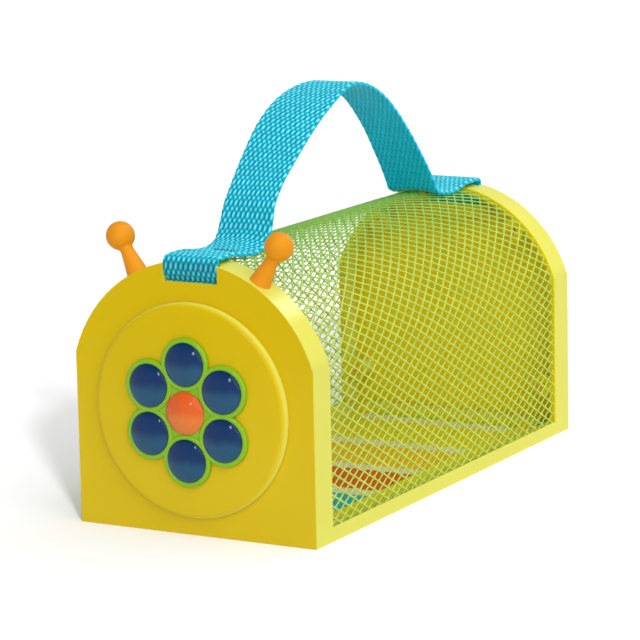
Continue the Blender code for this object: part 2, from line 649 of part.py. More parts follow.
def antenna(name, hand):
    """A tapered stem with a ball, and a shank that plugs into the rim."""
    base = SEAM
    ball = base + ANTENNA_LENGTH
    steps = 2 * DOME_STEPS
    meet = math.asin(ANTENNA_NECK_RADIUS / ANTENNA_BALL_RADIUS)
    turns = [(math.pi - meet) * i / steps for i in range(steps + 1)]
    profile = [(ANTENNA_BALL_RADIUS * math.sin(t), ball + ANTENNA_BALL_RADIUS * math.cos(t)) for t in turns]
    profile += [(ANTENNA_BASE_RADIUS, base), (ANTENNA_SHANK_RADIUS, base),
                (ANTENNA_SHANK_RADIUS, -PANEL_WALL), (0, -PANEL_WALL)]
    turned(name, profile, antenna_matrix(hand), ROUND_STEPS, ORANGE)


def door_pivot():
    """An empty on the door's axis, which carries the door and all that turns with it."""
    pivot = bpy.data.objects.new("door_pivot", None)
    pivot.location = (0, at_depth(FRONT, 0), PIVOT_HEIGHT)
    PARTS.objects.link(pivot)
    return pivot


def door_disc():
    """A round cap with a rolled edge, hollow behind, and a hub that turns in the panel's pivot hole."""
    front, back = -DOOR_FRONT, DOOR_GAP
    flat = DOOR_RADIUS - DOOR_ROUND
    shoulder = front - DOOR_ROUND
    inside = DOOR_RADIUS - DOOR_SHELL
    profile = [(0, front)]
    profile += [(flat + DOOR_ROUND * math.sin(t), shoulder + DOOR_ROUND * math.cos(t)) for t in QUARTER_TURN]
    profile += [(DOOR_RADIUS, back), (inside, back), (inside, shoulder),
                (inside - DOOR_ROUND / 2, front - DOOR_SHELL), (0, front - DOOR_SHELL)]
    facing = Matrix.Translation((0, at_depth(FRONT, 0), DOOR_CENTRE)) @ AXES["Y"]
    disc = turned("door_disc", profile, facing, DISC_STEPS, YELLOW)
    join(disc, rod("door_disc_hub", PIVOT_RADIUS, inward(FRONT, 0, PIVOT_HEIGHT),
                   DOOR_FRONT + DOOR_SHELL / 2, FACE_WALL))
    cut(disc, rod("door_disc_hole", SCREW_HOLE_RADIUS, inward(FRONT, 0, PIVOT_HEIGHT),
                  DOOR_FRONT + DOOR_SHELL, FACE_WALL + OVERCUT, SCREW_STEPS))
    return disc


def door_keeper():
    """The washer behind the face that holds the door on, with a lug that meets the stops."""
    keeper = rod("door_keeper", KEEPER_RADIUS, inward(FRONT, 0, PIVOT_HEIGHT), KEEPER_START, KEEPER_END)
    keeper.data.materials.append(YELLOW)
    join(keeper, box("door_keeper_lug",
                     (-LUG_WIDTH / 2, at_depth(FRONT, KEEPER_START + SEAM / 2), PIVOT_HEIGHT - LUG_REACH),
                     (LUG_WIDTH / 2, at_depth(FRONT, KEEPER_END - SEAM / 2), PIVOT_HEIGHT - PIVOT_RADIUS)))
    cut(keeper, rod("door_keeper_hole", SCREW_HOLE_RADIUS, inward(FRONT, 0, PIVOT_HEIGHT),
                    KEEPER_START - OVERCUT, KEEPER_END + OVERCUT, SCREW_STEPS))
    return keeper


def dome(name, radius, height, x, z, material):
    """A domed button that stands on the flower's plate."""
    profile = [(radius * math.sin(t), height * math.cos(t)) for t in QUARTER_TURN] + [(0, 0)]
    seat = at_depth(FRONT, FLOWER_FRONT - SEAM)
    return turned(name, profile, Matrix.Translation((x, seat, z)) @ AXES["Y"], ROUND_STEPS, material)


def flower_plate():
    """The plate under the petals, whose edge runs round each petal at an even rim."""
    lobe = PETAL_RADIUS + PETAL_RIM
    per_petal = 14
    outline = []
    for i in range(PETAL_COUNT * per_petal):
        turn = PETAL_STEP * i / per_petal
        aside = turn - PETAL_STEP * round(turn / PETAL_STEP)
        reach = math.sqrt(lobe ** 2 - (PETAL_CIRCLE * math.sin(aside)) ** 2)
        radius = PETAL_CIRCLE * math.cos(aside) + reach
        outline.append((radius * math.sin(turn), DOOR_CENTRE + radius * math.cos(turn)))
    return prism("flower_plate", outline, "Y", at_depth(FRONT, FLOWER_FRONT),
                 at_depth(FRONT, DOOR_FRONT - SEAM), GREEN)


def door():
    """The door with its keeper, pivot screw and flower, all hung on the pivot."""
    pieces = [door_disc(), door_keeper(), flower_plate()]
    for i in range(PETAL_COUNT):
        x = PETAL_CIRCLE * math.sin(PETAL_STEP * i)
        z = DOOR_CENTRE + PETAL_CIRCLE * math.cos(PETAL_STEP * i)
        pieces.append(dome(f"flower_petal_{i + 1}", PETAL_RADIUS, PETAL_HEIGHT, x, z, NAVY))
    pieces.append(dome("flower_centre", CENTRE_RADIUS, CENTRE_HEIGHT, 0, DOOR_CENTRE, RED))
    screw("door_pivot_screw", inward(FRONT, 0, PIVOT_HEIGHT), KEEPER_END, DOOR_FRONT + DOOR_SHELL + SEAM)
    pieces.append(bpy.data.objects["door_pivot_screw"])
    pivot = door_pivot()
    bpy.context.view_layer.update()
    for piece in pieces:
        piece.parent = pivot
        piece.matrix_parent_inverse = pivot.matrix_world.inverted()


def build():
    """Build every piece of the house."""
    front_panel()
    end_panel("rear_panel", REAR)
    inner_frame("front_inner_frame", FRONT)
    inner_frame("rear_inner_frame", REAR)
    base_tray()
    floor_card()
    mesh_cover()
    strap()
    strap_clamp("front_strap_clamp", FRONT)
    strap_clamp("rear_strap_clamp", REAR)
    screws()
    antenna("antenna_left", -1)
    antenna("antenna_right", 1)
    door()


build()
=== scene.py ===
"""Looks of the bug house: its finishes and fine surfaces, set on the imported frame.

X runs across the width, Y along the length with the front at -Y, and Z is the height above the table.
"""

import logging
import math
from dataclasses import dataclass
from enum import Enum
from typing import Any, Callable

import bmesh
import bpy
import numpy as np
from mathutils import Matrix, Vector


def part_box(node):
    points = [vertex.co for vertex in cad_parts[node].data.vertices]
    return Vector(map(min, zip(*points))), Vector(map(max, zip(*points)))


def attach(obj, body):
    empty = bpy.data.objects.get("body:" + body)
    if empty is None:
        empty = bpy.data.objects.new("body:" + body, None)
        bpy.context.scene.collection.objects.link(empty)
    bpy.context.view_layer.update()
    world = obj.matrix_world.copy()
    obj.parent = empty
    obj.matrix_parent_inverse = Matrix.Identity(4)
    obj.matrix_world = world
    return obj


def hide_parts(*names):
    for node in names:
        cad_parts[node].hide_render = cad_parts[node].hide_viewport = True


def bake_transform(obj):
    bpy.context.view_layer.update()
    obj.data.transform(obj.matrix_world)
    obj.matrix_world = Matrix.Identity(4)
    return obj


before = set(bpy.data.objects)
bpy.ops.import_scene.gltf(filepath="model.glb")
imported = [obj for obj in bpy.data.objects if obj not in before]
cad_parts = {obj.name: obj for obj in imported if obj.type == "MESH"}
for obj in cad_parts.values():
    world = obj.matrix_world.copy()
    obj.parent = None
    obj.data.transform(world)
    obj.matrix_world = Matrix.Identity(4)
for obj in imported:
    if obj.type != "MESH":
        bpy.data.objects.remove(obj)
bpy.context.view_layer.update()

MM = 0.001
STRAP_WIDTH = 25.9 * MM
# How far the door's face is sunk towards the panel, and its screw cut short
DOOR_SUNK = 2 * MM
# Distances under which two points are one, in pieces made here and in copies of solids
ONE_POINT = 1e-7
ONE_SOLID_POINT = 1e-6
# Between two faces of a solid: the most that counts as flat, and the least that makes an edge
FLAT_ANGLE = math.radians(0.5)
EDGE_ANGLE = math.radians(50)
Array = np.ndarray
Colour = tuple[float, float, float]
Piece = bpy.types.Object
Material = bpy.types.Material
Span = tuple[float, float]

log = logging.getLogger("bug_house")


class Body(Enum):
    """The bodies that pieces ride on."""

    HOUSE = "house"
    DOOR = "door"
    STRAP = "strap_handle"


class Slot(Enum):
    """The record's material slots."""

    YELLOW = "yellow_plastic"
    ORANGE = "orange_plastic"
    GREEN = "green_plastic"
    NAVY = "navy_plastic"
    RED = "red_plastic"
    MESH = "mesh_green"
    WEBBING = "blue_webbing"
    CARD = "striped_card"
    STEEL = "zinc_steel"


class End(Enum):
    """The two ends of the house, with the sign of their Y."""

    FRONT = -1
    REAR = 1

    @property
    def label(self) -> str:
        """The word that node names use."""
        return self.name.lower()

    def y(self, depth: float, half_length: float) -> float:
        """The Y of a depth behind this end's outer face."""
        return self.value * (half_length - depth)


# Meshes from arrays


def ring_quads(rings: int, around: int) -> Array:
    """Corner numbers of the quads between neighbouring rings of points.

    Args:
        rings: Number of rings.
        around: Points in each ring.

    Returns:
        An array of four corner numbers for each quad.
    """
    ring, point = np.meshgrid(np.arange(rings - 1) * around, np.arange(around), indexing="ij")
    after = (point + 1) % around
    corners = (ring + point, ring + after, ring + around + after, ring + around + point)
    return np.stack(corners, axis=-1).reshape(-1, 4)


def circle(steps: int) -> Array:
    """Even angles round a circle, in radians."""
    return np.linspace(0, 2 * np.pi, steps, endpoint=False)


def run_length(points: Array) -> Array:
    """Distance along a line of points from its first one."""
    return np.concatenate([[0], np.cumsum(np.linalg.norm(np.diff(points, axis=0), axis=1))])


def running_mean(values: Array, width: int, **padding: str) -> Array:
    """Values evened over a width of neighbours, with the ends padded as numpy's pad is told."""
    padded = np.pad(values, width // 2, **padding)
    return np.convolve(padded, np.ones(width) / width, "valid")[:values.size]


def mesh_points(mesh: bpy.types.Mesh) -> Array:
    """The points of a mesh.

    Args:
        mesh: The mesh.

    Returns:
        One point a row.
    """
    points = np.empty(len(mesh.vertices) * 3, np.float32)
    mesh.vertices.foreach_get("co", points)
    return points.reshape(-1, 3)


def add_object(name: str, data: bpy.types.ID) -> Piece:
    """Put a new object into the scene.

    Args:
        name: The object's name.
        data: Its mesh, lamp or camera.

    Returns:
        The object.
    """
    made = bpy.data.objects.new(name, data)
    bpy.context.scene.collection.objects.link(made)
    return made


def put_mesh(name: str, points: Array, faces: list[list[int]], crease: float) -> Piece:
    """Make a closed piece at the origin: poles merged, faces outwards, smooth apart from its creases.

    Args:
        name: The piece's name.
        points: Points in metres, with three numbers along the last axis.
        faces: Corner numbers of each face.
        crease: Angle in degrees above which an edge stays sharp.

    Returns:
        The new object.
    """
    mesh = bpy.data.meshes.new(name)
    mesh.from_pydata(points.reshape(-1, 3).tolist(), [], faces)
    work = bmesh.new()
    work.from_mesh(mesh)
    bmesh.ops.remove_doubles(work, verts=work.verts, dist=ONE_POINT)
    loose = [vert for vert in work.verts if not vert.link_faces]
    bmesh.ops.delete(work, geom=loose, context="VERTS")
    if work.calc_volume(signed=True) < 0:
        bmesh.ops.reverse_faces(work, faces=work.faces)
    work.to_mesh(mesh)
    work.free()
    mesh.shade_smooth()
    mesh.set_sharp_from_angle(angle=math.radians(crease))
    return add_object(name, mesh)


def loft(name: str, rings: Array, crease: float) -> Piece:
    """A closed skin over rings of points, with its two ends capped unless the last ring is the first again.

    Args:
        name: The piece's name.
        rings: Rings of points, as an array of rings by points by three. A ring of one place is a pole.
        crease: Angle in degrees above which an edge stays sharp.

    Returns:
        The new object.
    """
    count, around = rings.shape[:2]
    faces = ring_quads(count, around).tolist()
    looped = np.allclose(rings[0], rings[-1], atol=ONE_POINT)
    for number, order in ((0, -1), (count - 1, 1)):
        if not looped and np.ptp(rings[number], axis=0).max() > ONE_POINT:
            faces.append((number * around + np.arange(around)[::order]).tolist())
    return put_mesh(name, rings, faces, crease)


def turn(profile: Array, steps: int) -> Array:
    """Rings of a profile turned about Z: the point (r, h) goes to (r cos t, r sin t, h).

    Args:
        profile: Radius and height of each ring.
        steps: Points in each ring.

    Returns:
        Rings by points by three.
    """
    t = circle(steps)
    radius, height = profile[:, 0, None], profile[:, 1, None]
    return np.stack([radius * np.cos(t), radius * np.sin(t), height + 0 * t], axis=-1)


def moved(points: Array, matrix: Matrix) -> Array:
    """Points carried by a matrix."""
    full = np.array(matrix)
    return points @ full[:3, :3].T + full[:3, 3]


def arc(centre: Span, radius: float, start: float, end: float, steps: int) -> Array:
    """Points of an arc from one angle to another, in degrees from the first axis.

    Args:
        centre: The arc's centre.
        radius: The arc's radius.
        start: First angle.
        end: Last angle.
        steps: Parts that the arc is divided into.

    Returns:
        One point a row.
    """
    angle = np.radians(np.linspace(start, end, steps + 1))
    return np.stack([centre[0] + radius * np.cos(angle), centre[1] + radius * np.sin(angle)], axis=-1)


def softened(node: str, name: str, width: float, reshape: Callable[[Array], Array] | None = None) -> Piece:
    """A merged copy of a solid with its sharp edges eased, so that it catches light as a moulding does.

    Args:
        node: The solid's node.
        name: The copy's name.
        width: Width of the eased edge.
        reshape: What is done to the copy's points first.

    Returns:
        The new object.
    """
    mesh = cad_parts[node].data.copy()
    mesh.name = name
    work = bmesh.new()
    work.from_mesh(mesh)
    bmesh.ops.remove_doubles(work, verts=work.verts, dist=ONE_SOLID_POINT)
    bmesh.ops.dissolve_limit(work, angle_limit=FLAT_ANGLE, verts=work.verts, edges=work.edges)
    work.to_mesh(mesh)
    work.free()
    if reshape:
        mesh.vertices.foreach_set("co", reshape(mesh_points(mesh)).ravel())
    mesh.materials.clear()
    mesh.shade_smooth()
    mesh.set_sharp_from_angle(angle=EDGE_ANGLE)
    piece = add_object(name, mesh)
    ease = piece.modifiers.new("eased edges", "BEVEL")
    ease.width = width
    ease.segments = 2
    ease.limit_method = "ANGLE"
    ease.angle_limit = EDGE_ANGLE
    ease.use_clamp_overlap = True
    level = piece.modifiers.new("flat faces", "WEIGHTED_NORMAL")
    level.keep_sharp = False
    return piece


def centre_of(node: str) -> Array:
    """The middle of a solid's box."""
    low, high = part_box(node)
    return (np.array(low) + np.array(high)) / 2


def point_values(piece: Piece, name: str, values: Array) -> None:
    """Keep one number for each point of a piece, for its finish to read."""
    layer = piece.data.attributes.new(name, "FLOAT", "POINT")
    layer.data.foreach_set("value", values.astype(np.float32).ravel())


def fit(piece: Piece, material: Material, body: Body, slot: Slot, *nodes: str) -> Piece:
    """Dress a piece, let it ride on a body and let it stand for solids.

    Args:
        piece: The piece.
        material: Its finish.
        body: The body that it moves with.
        slot: The record's slot for its finish; not used.
        nodes: Nodes that it replaces.

    Returns:
        The same piece.
    """
    piece.data.materials.clear()
    piece.data.materials.append(material)
    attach(piece, body.value)
    if nodes:
        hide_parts(*nodes)
    log.info("%s: %d faces on %s", piece.name, len(piece.data.polygons), body.value)
    return piece


# Shader maths


class Value:
    """An output socket that takes part in Python arithmetic; each step adds a Math node."""

    def __init__(self, shader: "Shader", socket: bpy.types.NodeSocket) -> None:
        """Keep the socket and the shader that it belongs to."""
        self.shader = shader
        self.socket = socket

    def math(self, operation: str, *others: Any) -> "Value":
        """This value and others put through one Math operation."""
        return self.shader.math(operation, self, *others)

    def __add__(self, other: Any) -> "Value":
        """Sum."""
        return self.math("ADD", other)

    __radd__ = __add__

    def __mul__(self, other: Any) -> "Value":
        """Product."""
        return self.math("MULTIPLY", other)

    __rmul__ = __mul__

    def __sub__(self, other: Any) -> "Value":
        """Difference."""
        return self.math("SUBTRACT", other)

    def __rsub__(self, other: Any) -> "Value":
        """Difference from a number."""
        return self.shader.math("SUBTRACT", other, self)

    def __truediv__(self, other: Any) -> "Value":
        """Quotient."""
        return self.math("DIVIDE", other)

    def __abs__(self) -> "Value":
        """Size without sign."""
        return self.math("ABSOLUTE")


class Shader:
    """A node tree that is written as expressions."""

    # Sockets of a Mix node that belong to colours
    MIX_FIRST, MIX_SECOND, MIX_RESULT = 6, 7, 2
    NOISE_ROUGHNESS = 0.55

    def __init__(self, tree: bpy.types.NodeTree) -> None:
        """Start from an empty tree."""
        self.tree = tree
        tree.nodes.clear()

    def node(self, kind: str, settings: dict | None = None, sockets: dict | None = None,
             output: int | str = 0) -> Value:
        """Add a node: its settings first, then the values or links of its sockets.

        Args:
            kind: The node's type.
            settings: Its own properties, with a ramp's interpolation and stops under "ramp".
            sockets: Values or links, by socket name or number.
            output: The output that is wanted.

        Returns:
            That output.
        """
        made = self.tree.nodes.new(kind)
        for key, value in (settings or {}).items():
            if key == "ramp":
                self.set_ramp(made.color_ramp, *value)
            else:
                setattr(made, key, value)
        for key, value in (sockets or {}).items():
            if isinstance(value, Value):
                self.tree.links.new(value.socket, made.inputs[key])
            else:
                made.inputs[key].default_value = value
        return Value(self, made.outputs[output])

    @staticmethod
    def set_ramp(ramp: bpy.types.ColorRamp, interpolation: str, stops: list[tuple[float, Colour]]) -> None:
        """Give a ramp its interpolation and its stops."""
        ramp.interpolation = interpolation
        while len(ramp.elements) < len(stops):
            ramp.elements.new(1.0)
        for element, (place, colour) in zip(ramp.elements, stops):
            element.position = place
            element.color = (*colour, 1.0)

    def math(self, operation: str, *values: Any) -> Value:
        """One Math node on values or numbers."""
        return self.node("ShaderNodeMath", {"operation": operation}, dict(enumerate(values)))

    def mix(self, share: Any, first: Any, second: Any, blend: str = "MIX") -> Value:
        """Two colours mixed by a share of the second.

        Args:
            share: The share.
            first: A colour or a link.
            second: A colour or a link.
            blend: How the second acts on the first.

        Returns:
            The mixed colour.
        """
        colours = zip((self.MIX_FIRST, self.MIX_SECOND), (first, second))
        sockets = {key: (*c, 1.0) if isinstance(c, tuple) else c for key, c in colours}
        settings = {"data_type": "RGBA", "blend_type": blend}
        return self.node("ShaderNodeMix", settings, {0: share, **sockets}, self.MIX_RESULT)

    def scaled(self, colour: Any, factor: Any) -> Value:
        """A colour made lighter or darker by a factor."""
        grey = self.node("ShaderNodeCombineColor", None, {0: factor, 1: factor, 2: factor})
        return self.mix(1.0, colour, grey, "MULTIPLY")

    def place(self, output: str = "Object") -> Value:
        """The piece's own coordinates."""
        return self.node("ShaderNodeTexCoord", None, None, output)

    def part(self, vector: Value, axis: str) -> Value:
        """One part of a vector."""
        return self.node("ShaderNodeSeparateXYZ", None, {0: vector}, axis)

    def outward(self) -> Value:
        """How far a face looks out of its own end of the house, from -1 to 1."""
        return self.part(self.place("Normal"), "Y") * self.part(self.place(), "Y").math("SIGN")

    def stored(self, name: str) -> Value:
        """A number kept on the piece's points."""
        return self.node("ShaderNodeAttribute", {"attribute_name": name}, None, "Fac")

    def noise(self, where: Value, size: float, detail: int) -> Value:
        """Noise from 0 to 1 whose features have a size in metres."""
        sockets = {"Vector": where, "Scale": 1 / size, "Detail": detail, "Roughness": self.NOISE_ROUGHNESS}
        return self.node("ShaderNodeTexNoise", None, sockets)

    @staticmethod
    def between(share: Value, low: float, high: float) -> Value:
        """A share from 0 to 1 laid between two levels."""
        return share * (high - low) + low

    def stretched(self, where: Value, scale: tuple[float, float, float]) -> Value:
        """Coordinates scaled unlike along their axes."""
        return self.node("ShaderNodeMapping", None, {"Vector": where, "Scale": scale})

    def bump(self, height: Value, depth: float) -> Value:
        """A normal from a height of 0 to 1 that stands for a depth in metres."""
        return self.node("ShaderNodeBump", None, {"Height": height, "Distance": depth, "Strength": 1.0})

    def smooth(self, value: Value, low: float, high: float) -> Value:
        """An even ease from 0 to 1 between two levels."""
        sockets = {"Value": value, "From Min": low, "From Max": high}
        return self.node("ShaderNodeMapRange", {"interpolation_type": "SMOOTHSTEP"}, sockets)

    def principled(self, **sockets: Any) -> Value:
        """A Principled shader; socket names have _ for a space."""
        named = {key.replace("_", " "): value for key, value in sockets.items()}
        return self.node("ShaderNodeBsdfPrincipled", None, named)

    def surface(self, shader: Value, kind: str = "ShaderNodeOutputMaterial") -> None:
        """Link a shader to the output."""
        made = self.tree.nodes.new(kind)
        self.tree.links.new(shader.socket, made.inputs["Surface"])


def new_material(name: str) -> tuple[Material, Shader]:
    """An empty material and its shader."""
    material = bpy.data.materials.new(name)
    material.use_nodes = True
    return material, Shader(material.node_tree)


# Finishes


@dataclass(frozen=True)
class MouldedPlastic:
    """Injection-moulded plastic with painted light: rims carry a paler painted light and sheen, flats that
    look out of an end a darker painted shade, and insides a lighter painted light.

    The flats pale towards the foot of the house, a painted reflection of the white floor.
    """

    name: str
    # Darker tint of the flats that look out of an end: painted shade
    flat: Colour
    # Paler tint of the flats low down: a painted reflection of the floor
    foot: Colour
    # Paler tint of the rims: painted light and sheen
    rim: Colour
    # Lighter tint of the insides: painted light
    inside: Colour
    roughness: float = 0.22
    specular: float = 0.1
    mottle: float = 0.02
    mottle_size: float = 34 * MM
    uneven: float = 0.15
    flow_size: float = 9 * MM
    flow_stretch: tuple[float, float, float] = (1.0, 1.0, 0.3)
    grain_size: float = 0.55 * MM
    grain_depth: float = 0.004 * MM
    # Heights over which the flats pale into the painted floor reflection
    fade: Span = (100 * MM, 20 * MM)
    # How far a face looks out where it turns into the painted-shade flat, and into the painted-lit inside
    flat_from: Span = (0.25, 0.95)
    inside_from: Span = (-0.3, -0.9)

    def build(self) -> Material:
        """Painted light on rims and insides, painted shade on flats and a painted floor reflection low down,
        then mottled tint, uneven gloss and a faint moulded grain.

        Returns:
            The material.
        """
        material, s = new_material(self.name)
        where, outward = s.place(), s.outward()
        # Painted reflection of the floor: the flats pale towards the foot
        flat = s.mix(s.smooth(s.part(where, "Z"), *self.fade), self.flat, self.foot)
        # Painted light and sheen on the rims, painted shade on the flats
        tint = s.mix(s.smooth(outward, *self.flat_from), self.rim, flat)
        # Painted light on the insides
        tint = s.mix(s.smooth(outward, *self.inside_from), tint, self.inside)
        cloud = s.noise(where, self.mottle_size, 2)
        tint = s.scaled(tint, s.between(cloud, 1 - self.mottle, 1 + self.mottle))
        flow = s.noise(s.stretched(where, self.flow_stretch), self.flow_size, 3)
        gloss = s.between(flow, self.roughness * (1 - self.uneven), self.roughness * (1 + self.uneven))
        normal = s.bump(s.noise(where, self.grain_size, 2), self.grain_depth)
        s.surface(s.principled(Base_Color=tint, Roughness=gloss, Specular_IOR_Level=self.specular,
                               Normal=normal))
        return material


@dataclass(frozen=True)
class DomeGloss:
    """A polished dome: deep colour at the crown that runs to a lighter tint at the lower edge."""

    name: str
    crown: Colour
    foot: Colour
    specular: float = 0.22
    roughness: Span = (0.05, 0.11)
    polish_size: float = 2 * MM
    fade: Span = (0.45, 0.75)
    swirl: float = 0.15
    swirl_size: float = 5 * MM

    def build(self) -> Material:
        """Colour by the stored fade, a hard clear gloss and faint swirls.

        Returns:
            The material.
        """
        material, s = new_material(self.name)
        where = s.place()
        swirl = s.noise(where, self.swirl_size, 2) * self.swirl
        tint = s.mix(s.smooth(s.stored("fade") + swirl, *self.fade), self.crown, self.foot)
        gloss = s.between(s.noise(where, self.polish_size, 3), *self.roughness)
        s.surface(s.principled(Base_Color=tint, Roughness=gloss, Specular_IOR_Level=self.specular))
        return material


@dataclass(frozen=True)
class CoatedStrand:
    """A coated strand, such as the mesh's wire or a waxed thread, with painted shade that deepens its tint
    on the house's crown.
    """

    name: str
    tint: Colour
    shade: Colour
    # Deeper tint on the crown of the house: painted shade
    crown: Colour
    # Heights over which the crown's painted shade sets in
    fade: Span = (94 * MM, 113 * MM)
    patch: Span = (0.3, 0.7)
    patch_size: float = 7 * MM
    roughness: Span = (0.32, 0.52)
    gloss_size: float = 1.2 * MM
    grain_size: float = 0.3 * MM
    grain_depth: float = 0.02 * MM
    specular: float = 0.25

    def build(self) -> Material:
        """Patchy coating with a soft gloss, and painted shade on the crown.
        """
        material, s = new_material(self.name)
        where = s.place()
        tint = s.mix(s.smooth(s.noise(where, self.patch_size, 3), *self.patch), self.tint, self.shade)
        # Painted shade: the strands darken towards the crown of the house
        tint = s.mix(s.smooth(s.part(where, "Z"), *self.fade), tint, self.crown)
        gloss = s.between(s.noise(where, self.gloss_size, 2), *self.roughness)
        normal = s.bump(s.noise(where, self.grain_size, 2), self.grain_depth)
        s.surface(s.principled(Base_Color=tint, Roughness=gloss, Specular_IOR_Level=self.specular,
                               Normal=normal))
        return material


@dataclass(frozen=True)
class WovenWebbing:
    """Woven webbing with painted light: a painted highlight on the raised floats, painted shade in the gaps
    and down the ends, and a bluer underside painted against the greenish light that bounces onto it.
    """

    name: str
    # Painted shade in the gaps between floats
    gap: Colour
    float_: Colour
    # Painted highlight on the tops of the floats
    crest: Colour
    # Underside tint, bluer to offset the greenish light that bounces onto it: painted light
    reverse: Colour
    # Where the relief turns from the painted shade of a gap to float, and from float to the painted
    # highlight on top
    float_from: Span = (0.05, 0.75)
    crest_from: Span = (0.72, 1.12)
    crest_share: float = 0.85
    # Tone without any yarn or filament, and what each of the two adds
    tone: float = 0.88
    yarn_tone: float = 0.2
    filament_tone: float = 0.06
    filament_relief: float = 0.2
    filament_size: float = 0.16 * MM
    filament_stretch: float = 0.12
    filament_depth: float = 0.05 * MM
    roughness: Span = (0.45, 0.6)
    specular: float = 0.16
    # Painted shade on the ends: how much they darken, how far they look out and the heights that they darken
    # between
    fold_shade: float = 0.35
    fold_from: Span = (0.3, 0.9)
    fold_span: Span = (115.5 * MM, 112 * MM)

    def build(self) -> Material:
        """Colour by the stored relief, with painted shade in the gaps and a painted highlight on the floats'
        tops, painted shade down the ends, tone by the stored yarn, and filaments along the strap.

        Returns:
            The material.
        """
        material, s = new_material(self.name)
        relief, yarn, under = s.stored("relief"), s.stored("yarn"), s.stored("under")
        cloth = s.stretched(s.place("UV"), (STRAP_WIDTH, STRAP_WIDTH * self.filament_stretch, 1.0))
        strands = s.noise(cloth, self.filament_size, 2)
        # Painted shade in the gaps between floats
        tint = s.mix(s.smooth(relief, *self.float_from), self.gap, s.mix(under, self.float_, self.reverse))
        # Painted highlight on the tops of the floats, top face only
        crest = s.smooth(relief + strands * self.filament_relief, *self.crest_from)
        tint = s.mix(crest * (1 - under) * self.crest_share, tint, self.crest)
        # Painted shade on the ends that look out of the house below the ridge
        fold = s.smooth(s.outward(), *self.fold_from) * s.smooth(s.part(s.place(), "Z"), *self.fold_span)
        tone = self.tone + yarn * self.yarn_tone + strands * self.filament_tone
        tint = s.scaled(tint, tone * (1 - fold * self.fold_shade))
        gloss = s.between(strands, *self.roughness)
        normal = s.bump(strands, self.filament_depth)
        s.surface(s.principled(Base_Color=tint, Roughness=gloss, Specular_IOR_Level=self.specular,
                               Sheen_Weight=0.03, Sheen_Roughness=0.4, Normal=normal))
        return material


@dataclass(frozen=True)
class PrintedCard:
    """Card printed in bands across the house, with pale lines between and a plain margin at each side."""

    name: str
    half_length: float
    half_print: float
    margin: Colour
    line: Colour
    bands: tuple[tuple[float, float, Colour], ...]
    tone: float = 0.97
    fibre_tone: float = 0.1
    fibre_size: float = 0.8 * MM
    fibre_stretch: tuple[float, float, float] = (1.0, 0.3, 1.0)
    fibre_depth: float = 0.02 * MM
    ink_tone: float = 0.1
    ink_size: float = 14 * MM
    roughness: Span = (0.5, 0.7)
    specular: float = 0.15

    def build(self) -> Material:
        """Bands by the distance from the front, paper fibre and uneven ink.

        Returns:
            The material.
        """
        material, s = new_material(self.name)
        where = s.place()
        length = 2 * self.half_length
        along = (s.part(where, "Y") + self.half_length) / length
        stops = []
        for start, end, colour in self.bands:
            stops += [(start / length, colour), (end / length, self.line)]
        bands = s.node("ShaderNodeValToRGB", {"ramp": ("CONSTANT", stops)}, {0: along})
        edge = abs(s.part(where, "X")).math("GREATER_THAN", self.half_print)
        fibre = s.noise(s.stretched(where, self.fibre_stretch), self.fibre_size, 4)
        ink = s.noise(where, self.ink_size, 3)
        tone = self.tone + fibre * self.fibre_tone + ink * self.ink_tone
        tint = s.scaled(s.mix(edge, bands, self.margin), tone)
        gloss = s.between(fibre, *self.roughness)
        normal = s.bump(fibre, self.fibre_depth)
        s.surface(s.principled(Base_Color=tint, Roughness=gloss, Specular_IOR_Level=self.specular,
                               Normal=normal))
        return material


@dataclass(frozen=True)
class PlatedSteel:
    """Steel with a yellow zinc plating."""

    name: str
    tint: Colour
    metallic: float = 0.7
    tone: Span = (0.9, 1.1)
    roughness: Span = (0.5, 0.7)
    cloud_size: float = 1.5 * MM
    grain_size: float = 0.2 * MM
    grain_depth: float = 0.01 * MM

    def build(self) -> Material:
        """Turned marks and an uneven gloss.

        Returns:
            The material.
        """
        material, s = new_material(self.name)
        cloud = s.noise(s.place(), self.cloud_size, 3)
        tint = s.scaled(self.tint, s.between(cloud, *self.tone))
        gloss = s.between(cloud, *self.roughness)
        normal = s.bump(s.noise(s.place(), self.grain_size, 2), self.grain_depth)
        s.surface(s.principled(Base_Color=tint, Metallic=self.metallic, Roughness=gloss, Normal=normal))
        return material


# Shapes of the house


@dataclass(frozen=True)
class Arch:
    """The outline that the end panels and the mesh share: straight sides under a circular arch."""

    half_width: float
    height: float
    side_height: float = 72.4 * MM
    step: float = 0.1 * MM

    @property
    def radius(self) -> float:
        """The arch's radius, from half its chord and its rise."""
        rise = self.height - self.side_height
        return (self.half_width ** 2 + rise ** 2) / (2 * rise)

    @property
    def centre(self) -> float:
        """The height of the arch's centre."""
        return self.height - self.radius

    def point(self, angle: float) -> Span:
        """The X and Z of the arch at an angle from straight up."""
        return self.radius * math.sin(angle), self.centre + self.radius * math.cos(angle)

    def girth(self, inset: float, floor: float, ease: float) -> tuple[Array, Array, Array]:
        """The outline from the right foot over the top to the left foot, with its two corners eased.

        The sides are straight, the arch is part of a circle, and a running mean over a length rounds the
        corners where they meet.

        Args:
            inset: How far the outline is drawn in.
            floor: The height of its feet.
            ease: Length of the running mean.

        Returns:
            Distance along the outline, and X and Z there.
        """
        radius, half = self.radius - inset, self.half_width - inset
        climb = math.sqrt(radius ** 2 - half ** 2)
        reach = math.atan2(half, climb)
        side = np.arange(floor, self.centre + climb, self.step)
        angle = np.linspace(reach, -reach, int(2 * reach * radius / self.step))
        x = np.concatenate([np.full(side.shape, half), radius * np.sin(angle), np.full(side.shape, -half)])
        z = np.concatenate([side, self.centre + radius * np.cos(angle), side[::-1]])
        width = int(ease / self.step)
        x, z = (running_mean(v, width, mode="reflect", reflect_type="odd") for v in (x, z))
        return run_length(np.stack([x, z], -1)), x, z


